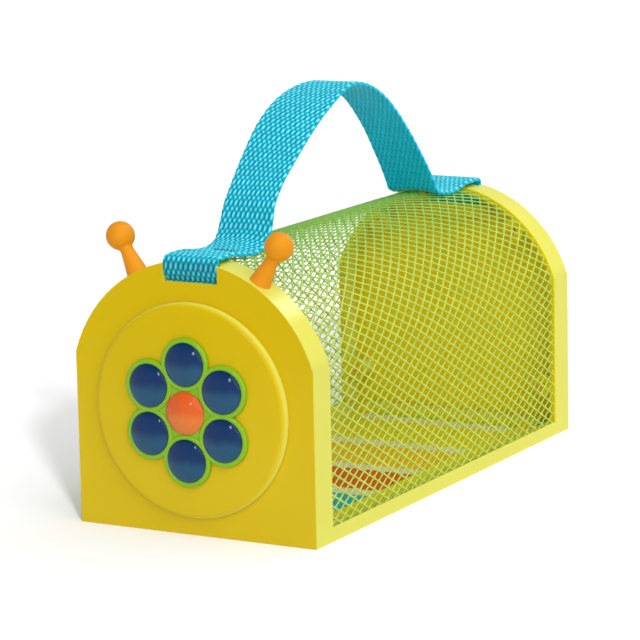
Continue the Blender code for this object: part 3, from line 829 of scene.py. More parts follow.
@dataclass
class Shell:
    """The rigid yellow mouldings: end panels, frames, tray, clamps and keeper."""

    arch: Arch
    plastic: Material
    edge: float = 0.35 * MM
    lip: float = 0.95 * MM
    tray_end: float = 105.7 * MM
    panel_back: float = 106.2 * MM
    notch_wall: float = 13.2 * MM
    notch_grip: float = 0.45 * MM
    near: float = 0.02 * MM

    def at(self, values: Array, distance: float) -> Array:
        """Which values lie at a distance to either side."""
        return np.abs(np.abs(values) - distance) < self.near

    def close_notch(self, points: Array) -> Array:
        """A panel's points with the walls of the strap's notch moved in until they touch the strap.

        Args:
            points: The panel's points.

        Returns:
            The same array.
        """
        walls = self.at(points[:, 0], self.notch_wall)
        points[walls, 0] -= np.sign(points[walls, 0]) * self.notch_grip
        return points

    def close_seam(self, points: Array) -> Array:
        """The tray's points with its two ends moved out to the panels.

        Args:
            points: The tray's points.

        Returns:
            The same array.
        """
        ends = self.at(points[:, 1], self.tray_end)
        points[ends, 1] = np.sign(points[ends, 1]) * self.panel_back
        return points

    def close_slot(self, points: Array) -> Array:
        """A frame's points spread across and upwards, so that it grips the mesh against the panel's lip.

        Args:
            points: The frame's points.

        Returns:
            The same array.
        """
        low, high = points.min(axis=0), points.max(axis=0)
        points[:, 0] *= (self.arch.half_width - self.lip) / high[0]
        grown = (self.arch.height - self.lip - low[2]) / (high[2] - low[2])
        points[:, 2] = low[2] + (points[:, 2] - low[2]) * grown
        return points

    def build(self) -> None:
        """Soften each moulding and dress it."""
        kinds = (("panel", self.close_notch), ("inner_frame", self.close_slot), ("strap_clamp", None))
        shapes = [(f"{end.label}_{kind}", reshape) for end in End for kind, reshape in kinds]
        shapes += [("base_tray", self.close_seam), ("door_keeper", None)]
        for node, reshape in shapes:
            piece = softened(node, f"{node}_moulding", self.edge, reshape)
            body = Body.DOOR if node == "door_keeper" else Body.HOUSE
            fit(piece, self.plastic, body, Slot.YELLOW, node)


@dataclass(frozen=True)
class StrandFamily:
    """Parallel strands of the mesh: their lean along the house, slope, spacing round the arch and layer."""

    word: str
    lean: int
    slope: float
    spacing: float
    layer: float


@dataclass
class MeshCover:
    """The diamond mesh: two families of coated strands that cross and bond."""

    arch: Arch
    coating: Material
    rising: StrandFamily = StrandFamily("rising", 1, 0.615, 4.83 * MM, -0.13 * MM)
    falling: StrandFamily = StrandFamily("falling", -1, 0.55, 4.62 * MM, 0.13 * MM)
    inset: float = 1.2 * MM
    floor: float = 3.3 * MM
    rail: float = 6 * MM
    corner_ease: float = 9 * MM
    strand: float = 0.34 * MM
    swell: float = 0.3
    # A strand's wavering: its size, its rate along the house and its shift from strand to strand
    waver: float = 0.09 * MM
    waver_rate: float = 910
    waver_shift: float = 1.7
    sides: int = 6
    flatten: float = 0.85
    # Tilt of the sheet's side at the rail and how much it turns in up to the arch
    splay: float = 0.06
    tuck: float = 0.15
    lift: float = 0.5 * MM
    held: float = 106 * MM
    free: float = 40 * MM

    def sag(self, s: Array, y: Array, girth: float) -> tuple[Array, Array]:
        """How far the sheet leaves the panels' outline between them: in towards the middle plane, and up.

        With u the share of the way h from the rail to the arch, a side comes in by h (-a u + b u^2 / 2).
        From the arch's foot on, that falls evenly to nothing at the crown, which lifts. Both fade towards
        the panels.

        Args:
            s: Distance round the arch.
            y: Distance along the house.
            girth: Whole length round the arch.

        Returns:
            The distance in and the distance up.
        """
        rail = self.rail - self.floor
        way = self.arch.side_height - self.rail
        climb = np.minimum(s, girth - s) - rail
        u = np.clip(climb / way, 0, 1)
        crown = np.clip((climb - way) / (girth / 2 - rail - way), 0, 1)
        loose = np.clip((self.held - np.abs(y)) / self.free, 0, 1)
        loose = loose ** 2 * (3 - 2 * loose)
        pull = way * (self.tuck * u ** 2 / 2 - self.splay * u) * (1 - crown)
        return pull * loose, self.lift * crown ** 2 * loose

    def strands(self, family: StrandFamily, other: StrandFamily) -> tuple[Array, list[list[int]]]:
        """Tubes along the slanted lines s = lean m y + c, where s is the distance round the arch.

        Rings lie on the crossings with the other family and halfway between them, and the tube swells at a
        crossing. A ring past the mesh's edge is drawn back to the edge as a point, and closes its tube.

        Args:
            family: The strands to make.
            other: The strands that they cross.

        Returns:
            Points, and corner numbers of faces.
        """
        length, x, z = self.arch.girth(self.inset, self.floor, self.corner_ease)
        girth, half = length[-1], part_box("mesh_cover")[1].y
        rise = family.lean * family.slope
        step = other.spacing / (2 * (family.slope + other.slope))
        reach = half * family.slope
        first, last = -math.ceil(reach / family.spacing), math.ceil((girth + reach) / family.spacing)
        offset = np.arange(first, last + 1)[:, None] * family.spacing
        count = math.ceil(half / step) + 2
        number = np.round(2 * offset / other.spacing) + np.arange(-count, count + 1)[None, :]
        place = family.lean * (number * other.spacing / 2 - offset) / (family.slope + other.slope)
        line = np.clip(place, -half, half)
        away = offset + rise * line
        inside = (away > 0) & (away < girth) & (np.abs(place) < half + step)
        s = np.clip(away, 0, girth)
        y = np.clip(np.where(away == s, line, (s - offset) / rise), -half, half)
        radius = np.where(inside, self.strand * (1 + self.swell * (number % 2 == 0)), 0.0)
        phase = y * self.waver_rate + self.waver_shift * offset / family.spacing
        s = np.clip(s + self.waver * np.sin(phase) * inside, 0, girth)
        slide_x = np.interp(s, length, np.gradient(x, length))
        slide_z = np.interp(s, length, np.gradient(z, length))
        px = np.interp(s, length, x)
        pull, lift = self.sag(s, y, girth)
        middle = np.stack([px - np.sign(px) * pull, y, np.interp(s, length, z) + lift], axis=-1)
        out = np.stack([slide_z, 0 * s, -slide_x], axis=-1)
        along = np.stack([slide_x * rise, 1 + 0 * s, slide_z * rise], axis=-1)
        along /= np.linalg.norm(along, axis=-1, keepdims=True)
        across = np.cross(out, along)
        t = circle(self.sides)[:, None]
        middle = middle + out * family.layer
        ring = out[..., None, :] * (self.flatten * np.cos(t)) + across[..., None, :] * np.sin(t)
        points = middle[..., None, :] + ring * radius[..., None, None]
        rings = number.shape[1]
        quads = ring_quads(rings, self.sides)
        shown = np.repeat(inside[:, :-1] | inside[:, 1:], self.sides, axis=1)
        faces = quads[None, :, :] + (np.arange(offset.size) * rings * self.sides)[:, None, None]
        return points, faces[shown].tolist()

    def build(self) -> None:
        """Make both families and dress them."""
        for family, other in ((self.rising, self.falling), (self.falling, self.rising)):
            points, faces = self.strands(family, other)
            piece = put_mesh(f"mesh_strands_{family.word}", points, faces, crease=80)
            fit(piece, self.coating, Body.HOUSE, Slot.MESH, "mesh_cover")


@dataclass
class Strap:
    """The webbing strap from clamp to clamp, woven in one length."""

    webbing: Material
    thread: Material
    half_length: float
    ridge: float
    width: float = STRAP_WIDTH
    thickness: float = 1.7 * MM
    yarns: int = 22
    lanes_per_yarn: int = 4
    row: float = 2.45 * MM
    rings_per_row: float = 5.3
    relief: float = 0.4 * MM
    under_relief: float = 0.7
    under_tone: float = 0.35
    # Half length and lean of the long floats and of the short ones, as shares of a row and of a yarn
    long_float: Span = (0.78, 0.34)
    short_float: Span = (0.46, 0.1)
    float_half: float = 0.66
    # Numbers that scatter the floats' tones
    scatter: tuple[float, float, float] = (12.9898, 78.233, 43758.5453)
    selvage: float = 0.26 * MM
    edge_round: float = 0.8 * MM
    # Distances of the outermost lanes from the edge
    rim_lanes: tuple[float, ...] = (0.0, 0.02 * MM, 0.07 * MM, 0.15 * MM)
    droop: float = 1.55 * MM
    hang_length: float = 18 * MM
    flush_depth: float = 1.0 * MM
    dive: float = 3.5
    tail_depth: float = 3.05 * MM
    tail_bottom: float = 97 * MM
    notch_bottom: float = 105 * MM
    fold: float = 2.6 * MM
    # Steps of the tail, of the rise and of the fold, and of each part of the loop's curve
    end_steps: tuple[int, int, int] = (8, 24, 16)
    curve_steps: int = 24
    smooth_rings: int = 5
    bend_height: float = 12 * MM
    # Depth behind the panel's face and dip under the rim's ridge where the strap lies, in mm
    rest_points: tuple[Span, ...] = ((14, 0), (24, 0.8), (33, 0.6))
    # Place along the house and rise over the ridge in mm, then roll and yaw in degrees
    loop_points: tuple[tuple[float, float, float, float], ...] = (
        (-80.0, 0.9, 0.0, -0.7), (-76.6, 3.4, 0.3, -1.0), (-73.6, 8.8, 0.8, -2.4),
        (-70.6, 15.5, 2.0, -5.0), (-63.5, 23.5, 0.8, -5.0), (-54.0, 32.0, -3.0, -2.0),
        (-39.5, 43.2, -6.5, 2.0), (-22.5, 51.9, -4.5, 2.0), (-3.6, 56.8, 2.0, -1.6),
        (14.5, 54.9, -0.6, -6.0), (32.0, 47.0, -3.6, -7.6), (49.0, 32.8, -4.2, -7.0),
        (63.2, 17.0, -2.5, -4.0), (72.3, 6.0, -1.3, -2.3), (76.5, 1.3, -0.5, -1.0),
    )
    stitch_depth: float = 20.5 * MM
    stitch_span: Span = (-0.4 * MM, 10 * MM)
    stitch_pitch: float = 1.5 * MM
    stitch_radius: float = 0.24 * MM
    stitch_sink: float = 0.2
    stitch_steps: int = 96
    stitch_sides: int = 8
    # A stitch row's wandering along the house: its size and its rate across
    wander: float = 0.2 * MM
    wander_rate: float = 900

    def end_points(self, end: End) -> Array:
        """The strap's middle from its tail up the notch and round the fold, with no roll or yaw.

        With u the share of the way up, it comes forward from the tail's depth as ((1 + cos(pi u)) / 2)^n.

        Args:
            end: The end of the house.

        Returns:
            Y, Z, roll and yaw of each point.
        """
        top = self.ridge - self.fold
        tail_steps, rise_steps, fold_steps = self.end_steps
        share = np.linspace(0, 1, rise_steps)
        ease = ((1 + np.cos(np.pi * share)) / 2) ** self.dive
        tail = np.stack([np.full(tail_steps, self.tail_depth),
                         np.linspace(self.tail_bottom, self.notch_bottom, tail_steps)], -1)
        rise = np.stack([self.flush_depth + (self.tail_depth - self.flush_depth) * ease,
                         self.notch_bottom + (top - self.notch_bottom) * share], -1)
        over = arc((self.flush_depth + self.fold, top), self.fold, 180, 90, fold_steps)
        depth, height = np.concatenate([tail[:-1], rise[:-1], over]).T
        return np.stack([end.y(depth, self.half_length), height, 0 * depth, 0 * depth], -1)

    def lying_points(self, end: End) -> Array:
        """Points where the strap lies on a panel's rim and dips behind it."""
        depth, dip = np.array(self.rest_points).T * MM
        return np.stack([end.y(depth, self.half_length), self.ridge - dip, 0 * depth, 0 * depth], -1)

    def path(self) -> tuple[Array, Array, Array]:
        """The whole strap's middle, evenly spaced: a smooth curve (Catmull-Rom) joins the two ends.

        Returns:
            Distance along the strap, the points (y, z, roll, yaw) and the normals (y, z) on the outer side.
        """
        front, rear = self.end_points(End.FRONT), self.end_points(End.REAR)
        degree = math.radians(1)
        loop = np.array(self.loop_points) * (MM, MM, degree, degree) + (0, self.ridge, 0, 0)
        guide = np.concatenate([front[-1:], self.lying_points(End.FRONT), loop,
                                self.lying_points(End.REAR)[::-1], rear[-1:]])
        t = np.linspace(0, 1, self.curve_steps, endpoint=False)[:, None]
        a, b, c, d = (guide[i:len(guide) - 3 + i, None, :] for i in range(4))
        curve = (2 * b + (c - a) * t + (2 * a - 5 * b + 4 * c - d) * t ** 2
                 + (3 * b - a - 3 * c + d) * t ** 3) / 2
        rough = np.concatenate([front, curve.reshape(-1, 4)[1:], rear[::-1]])
        length = run_length(rough[:, :2])
        even = np.arange(0, length[-1], self.row / self.rings_per_row)
        points = np.stack([np.interp(even, length, column) for column in rough.T], -1)
        slide = np.gradient(points[:, :2], axis=0)
        slide = np.stack([running_mean(part, self.smooth_rings, mode="edge") for part in slide.T], -1)
        slide /= np.linalg.norm(slide, axis=1, keepdims=True)
        return even, points, np.stack([-slide[:, 1], slide[:, 0]], -1)

    def fall(self, y: Array, height: Array, across: Array) -> Array:
        """How far the strap's edges hang where it lies on the arched mesh: d (2 x / w)^2.

        The fall sets in behind the panel's rim and is gone in the loop.

        Args:
            y: Place of the strap's middle along the house.
            height: Height of its middle.
            across: Distance from its middle line.

        Returns:
            The distance down.
        """
        lying = np.clip(1 - (height - self.ridge) / self.bend_height, 0, 1)
        depth = self.half_length - np.abs(y)
        behind = np.clip((depth - self.rest_points[0][0] * MM) / self.hang_length, 0, 1)
        return self.droop * lying * behind * (2 * across / self.width) ** 2

    def weave(self, across: Array, along: Array) -> tuple[Array, Array]:
        """Height of the weave: short round floats in every second yarn, and long ones in the yarns between.

        With t from -1 to 1 along a yarn's pattern, a float of half length h lifts as sqrt(1 - (t / h)^2), is
        round across, and leans with t. The surface is the highest of the three nearest yarns.

        Args:
            across: Distance from the strap's left edge.
            along: Distance from its front end.

        Returns:
            Height from 0 to 1, and a tone from 0 to 1 for each float.
        """
        pitch = self.width / self.yarns
        height, tone = np.zeros((2, *np.broadcast(across, along).shape))
        by_yarn, by_float, spread = self.scatter
        for shift in (-1, 0, 1):
            yarn = np.floor(across / pitch) + shift
            long_ = np.mod(yarn, 2)
            t = np.mod(along / self.row + long_, 2) - 1
            number = np.floor((along / self.row + long_) / 2)
            reach, lean = (np.where(long_ == 1, *pair) for pair in zip(self.long_float, self.short_float))
            off = (across - (yarn + 0.5) * pitch - lean * pitch * t) / (self.float_half * pitch)
            here = np.sqrt(np.clip(1 - (t / reach) ** 2, 0, 1) * np.clip(1 - off ** 2, 0, 1))
            chance = np.mod(np.sin(yarn * by_yarn + number * by_float) * spread, 1)
            tone = np.where(here > height, chance, tone)
            height = np.maximum(height, here)
        return height, tone

    def stitching(self, middle: Array) -> Piece:
        """A short dark thread across part of the front run, where the strap creases: it rises and dives as
        cos(2 pi x / p).

        Args:
            middle: The strap's points (y, z, roll, yaw).

        Returns:
            The piece.
        """
        x = np.linspace(*self.stitch_span, self.stitch_steps)
        at = End.FRONT.y(self.stitch_depth, self.half_length)
        level = middle[np.abs(middle[:, 0] - at).argmin(), 1]
        wave = self.stitch_radius * (np.cos(2 * np.pi * x / self.stitch_pitch) - self.stitch_sink)
        z = level + (self.thickness + self.relief) / 2 - self.fall(at, level, x) + wave
        t = circle(self.stitch_sides)
        y = at + self.stitch_radius * np.cos(t) + self.wander * np.sin(x * self.wander_rate)[:, None]
        height = z[:, None] + self.stitch_radius * np.sin(t)
        rings = np.stack(np.broadcast_arrays(x[:, None], y, height), -1)
        return loft("strap_stitching", rings, crease=60)

    def build(self) -> None:
        """Weave the strap along its path and dress it."""
        even, middle, normal = self.path()
        half = self.width / 2
        lanes = self.yarns * self.lanes_per_yarn
        inner = np.arange(1, lanes) * self.width / lanes - half
        rim = half - np.array(self.rim_lanes)
        top = np.concatenate([-rim, inner, rim[::-1]])
        under = np.concatenate([rim[1:], inner[::-2], -rim[:0:-1]])
        across = np.concatenate([top, under])
        face = np.concatenate([np.ones(top.size), -np.ones(under.size)])
        edge = np.clip((half - np.abs(across)) / self.edge_round, 0, 1)
        body = np.sqrt(1 - (1 - edge) ** 2)
        along = even[:, None]
        height, tone = self.weave(np.where(face > 0, across, -across)[None, :] + half, along)
        relief = self.relief * (height - 0.5) * np.where(face > 0, 1.0, self.under_relief)
        lift = face * body * (self.thickness / 2 + relief)
        notch = self.selvage * (1 - np.abs(np.sin(np.pi * along / self.row + np.pi / 2 * (across > 0))))
        x = across - np.sign(across) * notch * (1 - edge)
        y, z, roll, yaw = (middle[:, None, i] for i in range(4))
        rings = np.stack([x * np.cos(yaw), y + normal[:, None, 0] * lift + x * np.sin(yaw),
                          z + normal[:, None, 1] * lift + x * np.sin(roll) - self.fall(y, z, x)], -1)
        piece = loft("carry_strap", rings, crease=80)
        # The stored relief also drives the finish's painted gap shade and painted highlight; on the
        # underside it is lifted so that the gaps darken less
        under_height = self.under_tone + (1 - self.under_tone) * height
        point_values(piece, "relief", np.where(face > 0, height, under_height))
        point_values(piece, "yarn", tone)
        point_values(piece, "under", np.broadcast_to(face < 0, tone.shape))
        layer = piece.data.uv_layers.new(name="cloth")
        corner = np.empty(len(piece.data.loops), np.int32)
        piece.data.loops.foreach_get("vertex_index", corner)
        flat = np.broadcast_arrays((across + half) / self.width, along / self.width)
        flat = np.stack(flat, -1).reshape(-1, 2)
        layer.data.foreach_set("uv", flat[corner].astype(np.float32).ravel())
        piece.data.materials.append(self.webbing)
        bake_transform(piece)
        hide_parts("strap_front_run", "strap_loop", "strap_rear_run")
        stitches = fit(self.stitching(middle), self.thread, Body.HOUSE, Slot.WEBBING)
        log.info("%s: %.1f mm of webbing", piece.name, even[-1] / MM)


@dataclass
class Antennae:
    """Two stems with balls on the front panel's rim."""

    arch: Arch
    plastic: Material
    half_length: float
    angle: float = math.radians(29.6)
    depth: float = 6.8 * MM
    length: float = 16.9 * MM
    lean: float = math.radians(4)
    ball: float = 6 * MM
    neck: float = 2.75 * MM
    base: float = 4.6 * MM
    root: float = 0.5 * MM
    throat: float = 1.6 * MM
    throat_turn: float = 1.12
    # How far short of the foot's radius, and how high, the flare's two rings lie
    flare: tuple[Span, Span] = ((0.25 * MM, 0.8 * MM), (0.08 * MM, 0.35 * MM))
    ball_steps: int = 40
    stem_steps: int = 10
    sides: int = 48

    def profile(self) -> Array:
        """Ball from its crown to the neck, a hollow throat, then a straight taper to a flared foot.

        Returns:
            Radius and height of each ring.
        """
        meet = math.asin(self.neck / self.ball)
        t = np.linspace(0, np.pi - meet * self.throat_turn, self.ball_steps)
        ball = np.stack([self.ball * np.sin(t), self.length + self.ball * np.cos(t)], -1)
        (short, bottom), (shorter, low) = self.flare
        top = ball[-1, 1] - self.throat
        share = np.linspace(0, 1, self.stem_steps)[:, None]
        stem = (self.neck, top) + share * (self.base - short - self.neck, bottom - top)
        foot = [[self.base - shorter, low], [self.base, 0.0], [self.base, -self.root], [0.0, -self.root]]
        return np.concatenate([ball, stem, foot])

    def build(self) -> None:
        """Turn, place and dress each antenna."""
        for hand, word in ((-1, "left"), (1, "right")):
            x, z = self.arch.point(hand * self.angle)
            place = Matrix.Translation((x, End.FRONT.y(self.depth, self.half_length), z))
            tilt = Matrix.Rotation(-self.lean, 4, "X") @ Matrix.Rotation(hand * self.angle, 4, "Y")
            rings = moved(turn(self.profile(), self.sides), place @ tilt)
            node = f"antenna_{word}"
            fit(loft(f"{node}_stem", rings, crease=40), self.plastic, Body.HOUSE, Slot.ORANGE, node)


@dataclass
class Door:
    """The round door disc and the flower on it."""

    yellow: Material
    green: Material
    navy: Material
    red: Material
    radius: float = 44.7 * MM
    crown: float = 1.4 * MM
    sunk: float = DOOR_SUNK
    round_over: float = 2.6 * MM
    shell: float = 2.2 * MM
    # The disc's way off the panel, and the roundings of its rim's back and of its inner corner
    gap: float = 0.1 * MM
    rim_round: float = 0.4 * MM
    inner_round: float = 1.2 * MM
    rim_start: float = 0.5 * MM
    ceiling_start: float = 1.5 * MM
    disc_sides: int = 160
    hub: float = 4 * MM
    hub_hole: float = 1.6 * MM
    hub_round: float = 0.2 * MM
    hub_sides: int = 40
    # The hub's collar: how much wider it is, and where its taper starts and ends
    collar: float = 1 * MM
    taper: Span = (1.2 * MM, 2.2 * MM)
    pivot_height: float = 86.2 * MM
    panel_face: float = -120 * MM
    hub_end: float = 2.1 * MM
    petals: int = 6
    petal_circle: float = 19.9 * MM
    rim_radius: float = 11 * MM
    bead: float = 1.05 * MM
    bead_height: float = 0.7 * MM
    bead_steps: int = 21
    bead_sides: int = 96
    plate_roll: float = 0.55 * MM
    plate_border: float = 0.5 * MM
    plate_edge: float = 0.2 * MM
    plate_lanes: int = 16
    plate_sides: int = 240
    dome_foot: float = 0.5 * MM
    dome_round: float = 0.25
    dome_rings: int = 22
    dome_sides: int = 64

    def facing(self, x: float, z: float) -> Matrix:
        """A matrix on the panel's face whose Z axis looks out of the front."""
        return Matrix.Translation((x, self.panel_face, z)) @ Matrix.Rotation(math.radians(90), 4, "X")

    def middle(self) -> float:
        """The height of the disc's middle."""
        return centre_of("door_disc")[2]

    def stand(self, node: str) -> float:
        """How far the front of a solid stands out of the panel."""
        return self.panel_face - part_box(node)[0].y

    def front(self) -> float:
        """How far the disc's face stands out of the panel at its middle."""
        return self.stand("door_disc") - self.sunk

    def settled(self, points: Array) -> Array:
        """Points let down onto the disc, whose face falls as the square of the distance from its middle."""
        share = (points[..., 0] / self.radius) ** 2 + ((points[..., 2] - self.middle()) / self.radius) ** 2
        return points + (self.sunk + self.crown * share)[..., None] * np.array([0, 1, 0])

    def disc(self) -> Piece:
        """A turned cap with a crowned face and a rolled edge, hollow behind; the face falls as c (r / R)^2.

        Returns:
            The piece.
        """
        front, back = self.front(), self.gap
        radius, roll = self.radius, self.round_over
        inside, ceiling = radius - self.shell, front - self.shell
        rim, inner = self.rim_round, self.inner_round
        reach = np.linspace(0, radius - roll, 24)
        face = np.stack([reach, front - self.crown * (reach / radius) ** 2], -1)
        start = 90 - math.degrees(2 * self.crown * reach[-1] / radius ** 2)
        profile = np.concatenate([
            face[:-1],
            arc((radius - roll, face[-1, 1] - roll), roll, start, 0, 14),
            [[radius, back + self.rim_start]],
            arc((radius - rim, back + rim), rim, 0, -90, 4),
            arc((inside + rim, back + rim), rim, -90, -180, 4),
            arc((inside - inner, ceiling - inner), inner, 0, 90, 6),
            [[inside - self.ceiling_start, ceiling], [0.0, ceiling]],
        ])
        rings = moved(turn(profile, self.disc_sides), self.facing(0, self.middle()))
        return loft("door_cap", rings, crease=50)

    def hub_piece(self) -> Piece:
        """The hub behind the disc, which turns in the panel.

        Returns:
            The piece.
        """
        front, end = self.front() - self.shell / 2, -self.hub_end
        collar = self.hub + self.collar
        profile = np.array([[self.hub_hole, front], [collar, front], [collar, front - self.taper[0]],
                            [self.hub, front - self.taper[1]], [self.hub, end + self.hub_round],
                            [self.hub - self.hub_round, end], [self.hub_hole, end], [self.hub_hole, front]])
        rings = moved(turn(profile, self.hub_sides), self.facing(0, self.pivot_height))
        return loft("door_hub", rings, crease=40)

    def plate(self) -> Piece:
        """A plate with a scalloped edge: along each ray, the far side of the nearest petal's rim circle.

        With f the angle to the nearest petal, the edge lies at c cos f + sqrt(r^2 - c^2 sin^2 f).

        Returns:
            The piece.
        """
        front = self.stand("flower_plate")
        back = self.panel_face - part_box("flower_plate")[1].y
        t = circle(self.plate_sides)
        step = 2 * np.pi / self.petals
        f = np.mod(t - np.pi / 2 + step / 2, step) - step / 2
        far = np.sqrt(self.rim_radius ** 2 - (self.petal_circle * np.sin(f)) ** 2)
        edge = self.petal_circle * np.cos(f) + far
        roll = self.plate_roll
        bend = arc((0, 0), roll, 90, 0, 8)
        lanes = np.linspace(edge.min(), roll + self.plate_border, self.plate_lanes)
        inset = np.concatenate([lanes, roll - bend[:, 0], [0.0, self.plate_edge], lanes[::-1]])
        height = np.concatenate([0 * lanes + front, front - roll + bend[:, 1],
                                 [back + self.plate_edge, back], 0 * lanes + back])
        radius = np.clip(edge[None, :] - inset[:, None], 0, None) * (inset < edge.min())[:, None]
        rings = np.stack([radius * np.cos(t), radius * np.sin(t), height[:, None] + 0 * t], -1)
        place = self.facing(0, centre_of("flower_centre")[2])
        return loft("flower_backing", self.settled(moved(rings, place)), crease=40)

    def petal_rim(self, number: int) -> Piece:
        """A raised bead round a petal: an ellipse (b cos a, h sin a) turned about the petal's middle.

        Args:
            number: The petal's number.

        Returns:
            The piece.
        """
        x, _, z = centre_of(f"flower_petal_{number}")
        a = np.linspace(0, 2 * np.pi, self.bead_steps)
        profile = np.stack([self.rim_radius - self.bead * (1 - np.cos(a)),
                            self.stand("flower_plate") + self.bead_height * np.sin(a)], -1)
        rings = self.settled(moved(turn(profile, self.bead_sides), self.facing(x, z)))
        return loft(f"petal_rim_{number}", rings, crease=60)

    def dome(self, node: str, name: str) -> Piece:
        """A low dome on the plate, with an upright foot and a fade from its top to its lower edge.

        With a the angle from its crown, it falls as k cos a + (1 - k) cos^2 a.

        Args:
            node: The solid that it replaces.
            name: The piece's name.

        Returns:
            The piece.
        """
        low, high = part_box(node)
        radius = (high.x - low.x) / 2
        seat = self.stand("flower_plate")
        rise = self.stand(node) - seat - self.dome_foot
        a = np.linspace(0, np.pi / 2, self.dome_rings)
        swell = self.dome_round * np.cos(a) + (1 - self.dome_round) * np.cos(a) ** 2
        crown = np.stack([radius * np.sin(a), seat + self.dome_foot + rise * swell], -1)
        profile = np.concatenate([crown, [[radius, seat], [0.0, seat]]])
        x, _, z = centre_of(node)
        rings = self.settled(moved(turn(profile, self.dome_sides), self.facing(x, z)))
        piece = loft(name, rings, crease=60)
        point_values(piece, "fade", 0.5 - (mesh_points(piece.data)[:, 2] - z) / (2 * radius))
        return piece

    def build(self) -> None:
        """Make the door's pieces and dress them."""
        fit(self.disc(), self.yellow, Body.DOOR, Slot.YELLOW, "door_disc")
        fit(self.hub_piece(), self.yellow, Body.DOOR, Slot.YELLOW)
        fit(self.plate(), self.green, Body.DOOR, Slot.GREEN, "flower_plate")
        for number in range(1, self.petals + 1):
            node = f"flower_petal_{number}"
            fit(self.dome(node, f"petal_dome_{number}"), self.navy, Body.DOOR, Slot.NAVY, node)
            fit(self.petal_rim(number), self.green, Body.DOOR, Slot.GREEN)
        fit(self.dome("flower_centre", "centre_dome"), self.red, Body.DOOR, Slot.RED, "flower_centre")


@dataclass
class FloorCard:
    """The striped card on the tray."""

    print_: Material
    corner: float = 3 * MM
    # The eased upper edge: its height, and the top's size as a share of the card's
    ease: float = 0.1 * MM
    top: float = 0.998

    def build(self) -> None:
        """A thin plate with rounded corners."""
        low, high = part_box("floor_card")
        wide, long_ = high.x - self.corner, high.y - self.corner
        corners = [arc((sx * wide, sy * long_), self.corner, start, start + 90, 6)
                   for sx, sy, start in ((1, 1, 0), (-1, 1, 90), (-1, -1, 180), (1, -1, 270))]
        outline = np.concatenate(corners)
        levels = ((low.z, 1.0), (high.z - self.ease, 1.0), (high.z, self.top))
        rings = np.stack([np.insert(outline * size, 2, height, axis=1) for height, size in levels])
        piece = loft("striped_floor_card", rings, crease=30)
        fit(piece, self.print_, Body.HOUSE, Slot.CARD, "floor_card")


@dataclass
class Screws:
    """Every screw: a low domed head with a cross recess, and a plain shank."""

    steel: Material
    head_height: float = 1.2 * MM
    recess: float = 0.8 * MM
    recess_half: float = 0.36 * MM
    recess_reach: float = 1.5 * MM
    # The recess's depth past its middle as a share, and where its slope would end
    recess_floor: float = 0.4
    recess_slope: float = 1.3
    # Shares of the head: the crown's radius and fall, and the brim's upper edge
    crown: float = 0.94
    crown_fall: float = 0.35
    brim: float = 0.6
    crown_rings: int = 16
    sides: int = 64
    shank: float = 1.3 * MM
    pivot_trim: float = DOOR_SUNK

    def rings(self, head: float, length: float) -> Array:
        """Rings of a screw along Z from its crown at 0 to its tip, with the cross pressed into the crown.

        The crown falls as the square of the radius, and sinks where a point lies in either arm of the cross.

        Args:
            head: Radius of the head.
            length: Length from crown to tip.

        Returns:
            Rings by points by three.
        """
        crown = np.linspace(0, head * self.crown, self.crown_rings)
        tall, shank = self.head_height, self.shank
        profile = np.concatenate([
            np.stack([crown, -self.crown_fall * tall * (crown / head) ** 2], -1),
            [[head, -self.brim * tall], [head, -tall], [shank, -tall],
             [shank, -length + shank / 2], [shank / 2, -length], [0.0, -length]],
        ])
        rings = turn(profile, self.sides)
        x, y = rings[..., 0], rings[..., 1]
        radius = np.hypot(x, y)
        arm = np.minimum(np.abs(x), np.abs(y)) < self.recess_half
        deep = arm & (radius < self.recess_reach) & (np.arange(len(profile)) < self.crown_rings)[:, None]
        fall = np.clip(1 - radius / (self.recess_slope * self.recess_reach), 0, 1)
        depth = self.recess * (self.recess_floor + (1 - self.recess_floor) * fall)
        rings[..., 2] -= np.where(deep, depth, 0)
        return rings

    def build(self) -> None:
        """Make each screw along its solid's own axis, with its head on the side that its node shows."""
        for node in sorted(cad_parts):
            if "screw" not in node:
                continue
            low, high = (np.array(corner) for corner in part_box(node))
            size = high - low
            axis = 2 if "base" in node else 1
            head = size[(axis + 1) % 3] / 2
            out = self.head_side(node)
            spin = Vector((0, 0, 1)).rotation_difference(Vector(out)).to_matrix().to_4x4()
            middle = (low + high) / 2
            crown = np.where(np.array(out) > 0, high, np.where(np.array(out) < 0, low, middle))
            pivot = node == "door_pivot_screw"
            length = size[axis] - self.pivot_trim * pivot
            rings = moved(self.rings(head, length), Matrix.Translation(crown) @ spin)
            body = Body.DOOR if pivot else Body.HOUSE
            fit(loft(f"{node}_steel", rings, crease=30), self.steel, body, Slot.STEEL, node)

    @staticmethod
    def head_side(node: str) -> tuple[int, int, int]:
        """The direction that a screw's head looks in."""
        if "base" in node:
            return 0, 0, -1
        return (0, -1, 0) if node.startswith("rear") else (0, 1, 0)


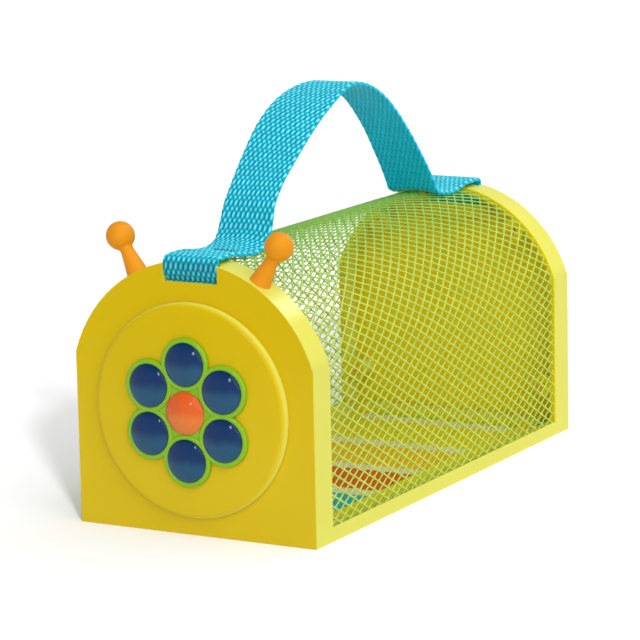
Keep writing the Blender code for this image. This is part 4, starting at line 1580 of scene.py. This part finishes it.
@dataclass
class Studio:
    """Camera, lamps, world and floor."""

    place: tuple[float, float, float] = (0.6739, -1.2165, 0.3338)
    azimuth: float = math.radians(29.255)
    elevation: float = math.radians(10.803)
    roll: float = math.radians(-1.214)
    lens: float = 182.71
    sensor: float = 36.0
    floor_half: float = 12.0
    fill: float = 0.29
    floor_tint: float = 0.86
    floor_bounce: float = 0.6
    # Grey of the ceiling, and the heights of a view direction between which it sets in
    ceiling: float = 0.25
    ceiling_from: Span = (0.1, 0.7)
    aim_height: float = 0.08
    far: float = 100.0

    def camera(self) -> None:
        """A camera at the photo's angle, rolled a little."""
        az, el = self.azimuth, self.elevation
        back = Vector((math.sin(az) * math.cos(el), -math.cos(az) * math.cos(el), math.sin(el)))
        right = Vector((math.cos(az), math.sin(az), 0))
        up = back.cross(right)
        tilted_right = right * math.cos(self.roll) + up * math.sin(self.roll)
        tilted_up = up * math.cos(self.roll) - right * math.sin(self.roll)
        data = bpy.data.cameras.new("view")
        data.lens = self.lens
        data.sensor_width = self.sensor
        data.clip_end = self.far
        camera = add_object("view", data)
        axes = Matrix((tilted_right, tilted_up, back)).transposed().to_4x4()
        camera.matrix_world = Matrix.Translation(self.place) @ axes
        bpy.context.scene.camera = camera

    @staticmethod
    def lamp(name: str, kind: str, energy: float, towards: Vector) -> Piece:
        """A lamp that shines from a direction.

        Args:
            name: The lamp's name.
            kind: Its type.
            energy: Its strength.
            towards: Direction from what it lights to the lamp.

        Returns:
            The lamp.
        """
        data = bpy.data.lights.new(name, kind)
        data.energy = energy
        lamp = add_object(name, data)
        lamp.rotation_mode = "QUATERNION"
        lamp.rotation_quaternion = towards.to_track_quat("Z", "Y")
        return lamp

    def sun(self, name: str, towards: tuple[float, float, float], share: float, spread: float,
            only: Piece | None = None) -> None:
        """A distant lamp.

        Args:
            name: The lamp's name.
            towards: Direction from the house to the lamp.
            share: Brightness that it gives a white surface square to it.
            spread: Its width as an angle in degrees.
            only: The one piece that it lights, if it doesn't light them all.
        """
        lamp = self.lamp(name, "SUN", share * math.pi, Vector(towards))
        lamp.data.angle = math.radians(spread)
        if only:
            lit = bpy.data.collections.new(f"lit_by_{name}")
            lit.objects.link(only)
            lamp.light_linking.receiver_collection = lit

    def softbox(self, name: str, place: tuple[float, float, float], size: Span, power: float) -> None:
        """A lit panel that looks at the house.

        Args:
            name: The lamp's name.
            place: Where it stands.
            size: Width and height.
            power: Power in watts.
        """
        lamp = self.lamp(name, "AREA", power, Vector(place) - Vector((0, 0, self.aim_height)))
        lamp.data.shape = "RECTANGLE"
        lamp.data.size, lamp.data.size_y = size
        lamp.location = place
        lamp.visible_camera = False

    @staticmethod
    def seen(s: Shader) -> Value:
        """1 for rays from the camera and for mirrored or passed rays, which see the white surroundings."""
        rays = [s.node("ShaderNodeLightPath", None, None, name)
                for name in ("Is Camera Ray", "Is Glossy Ray", "Is Transmission Ray")]
        return rays[0].math("MAXIMUM", rays[1]).math("MAXIMUM", rays[2])

    def world(self) -> None:
        """White surroundings under a grey ceiling to look at, and a dimmer even fill."""
        world = bpy.data.worlds.new("studio")
        world.use_nodes = True
        s = Shader(world.node_tree)
        fill = s.node("ShaderNodeBackground", None, {"Color": (1, 1, 1, 1), "Strength": self.fill})
        above = s.smooth(s.part(s.place("Generated"), "Z"), *self.ceiling_from)
        colour = s.mix(above, (1.0, 1.0, 1.0), (self.ceiling, self.ceiling, self.ceiling))
        walls = s.node("ShaderNodeBackground", None, {"Color": colour})
        light = s.node("ShaderNodeMixShader", None, {0: self.seen(s), 1: fill, 2: walls})
        s.surface(light, "ShaderNodeOutputWorld")
        bpy.context.scene.world = world

    def floor(self) -> Piece:
        """A pale matt floor that keeps the house's shadow.

        Returns:
            The floor.
        """
        half = self.floor_half
        mesh = bpy.data.meshes.new("floor")
        corners = [(-half, -half, 0), (half, -half, 0), (half, half, 0), (-half, half, 0)]
        mesh.from_pydata(corners, [], [(0, 1, 2, 3)])
        floor = add_object("floor", mesh)
        material, s = new_material("pale_floor")
        matt = [s.node("ShaderNodeBsdfDiffuse", None, {"Color": (tint, tint, tint, 1)})
                for tint in (self.floor_bounce, self.floor_tint)]
        s.surface(s.node("ShaderNodeMixShader", None, {0: self.seen(s), 1: matt[0], 2: matt[1]}))
        mesh.materials.append(material)
        return floor

    def build(self) -> None:
        """Set up the whole studio."""
        self.camera()
        self.sun("key", (0.60, -0.57, 0.56), 0.56, 70)
        self.sun("top_back", (0.3, 0.3, 0.9), 0.3, 60)
        self.sun("floor_key", (0.607, -0.695, 0.385), 0.85, 5, self.floor())
        self.softbox("back_softbox", (0.177, 0.573, 0.486), (0.17, 0.1), 0.55)
        self.softbox("front_softbox", (0.0, -1.3, 0.55), (0.1, 0.15), 1.2)
        self.world()
        bpy.context.scene.view_settings.view_transform = "Standard"


def main() -> None:
    """Build the house's looks in order."""
    logging.basicConfig(level=logging.INFO, format="%(name)s %(message)s")
    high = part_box("front_panel")[1]
    half_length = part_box("rear_panel")[1].y
    arch = Arch(high.x, high.z)
    # The yellow's flat tint is painted shade, its foot tint a painted floor reflection, and its rim and
    # inside tints painted light
    yellow = MouldedPlastic("yellow_moulding", flat=(0.715, 0.505, 0.0), foot=(0.745, 0.545, 0.014),
                            rim=(0.80, 0.77, 0.115), inside=(0.92, 0.72, 0.008)).build()
    orange = MouldedPlastic("orange_moulding", *[(0.83, 0.31, 0.008)] * 4, 0.4, 0.15).build()
    green = MouldedPlastic("green_moulding", *[(0.24, 0.52, 0.01)] * 4, 0.15, 0.3).build()
    navy = DomeGloss("navy_dome", (0.0, 0.03, 0.125), (0.015, 0.09, 0.18)).build()
    red = DomeGloss("red_dome", (0.80, 0.12, 0.015), (0.84, 0.22, 0.04)).build()
    # The mesh's crown tint is painted shade
    coating = CoatedStrand("green_coating", tint=(0.60, 0.79, 0.13), shade=(0.50, 0.69, 0.10),
                           crown=(0.31, 0.61, 0.11)).build()
    # The webbing's gap tint is painted shade, its tint for the tops of the floats a painted highlight, and
    # its underside tint painted against bounce light
    webbing = WovenWebbing("blue_weave", gap=(0.0, 0.31, 0.46), float_=(0.0, 0.57, 0.76),
                           crest=(0.32, 0.97, 1.0), reverse=(0.0, 0.62, 1.0)).build()
    thread = CoatedStrand("dark_thread", tint=(0.03, 0.05, 0.09), shade=(0.02, 0.035, 0.06),
                          crown=(0.03, 0.05, 0.09)).build()
    bands = (
        (0, 75.5 * MM, (0.0, 0.42, 0.48)), (84.5 * MM, 117.5 * MM, (0.72, 0.11, 0.006)),
        (126.5 * MM, 161.5 * MM, (0.90, 0.52, 0.01)), (170.5 * MM, 209 * MM, (0.82, 0.66, 0.01)),
        (218 * MM, 240 * MM, (0.46, 0.62, 0.02)),
    )
    card = PrintedCard("striped_print", half_length, half_print=38.5 * MM, margin=(0.82, 0.70, 0.02),
                       line=(0.80, 0.70, 0.46), bands=bands).build()
    steel = PlatedSteel("zinc_plate", (0.80, 0.60, 0.03)).build()
    parts = (
        Shell(arch, yellow),
        MeshCover(arch, coating),
        Strap(webbing, thread, half_length, arch.height + 1.2 * MM),
        Antennae(arch, orange, half_length),
        Door(yellow, green, navy, red),
        FloorCard(card),
        Screws(steel),
        Studio(),
    )
    for part in parts:
        part.build()
        log.info("built %s", type(part).__name__)


if __name__ == "__main__":
    main()
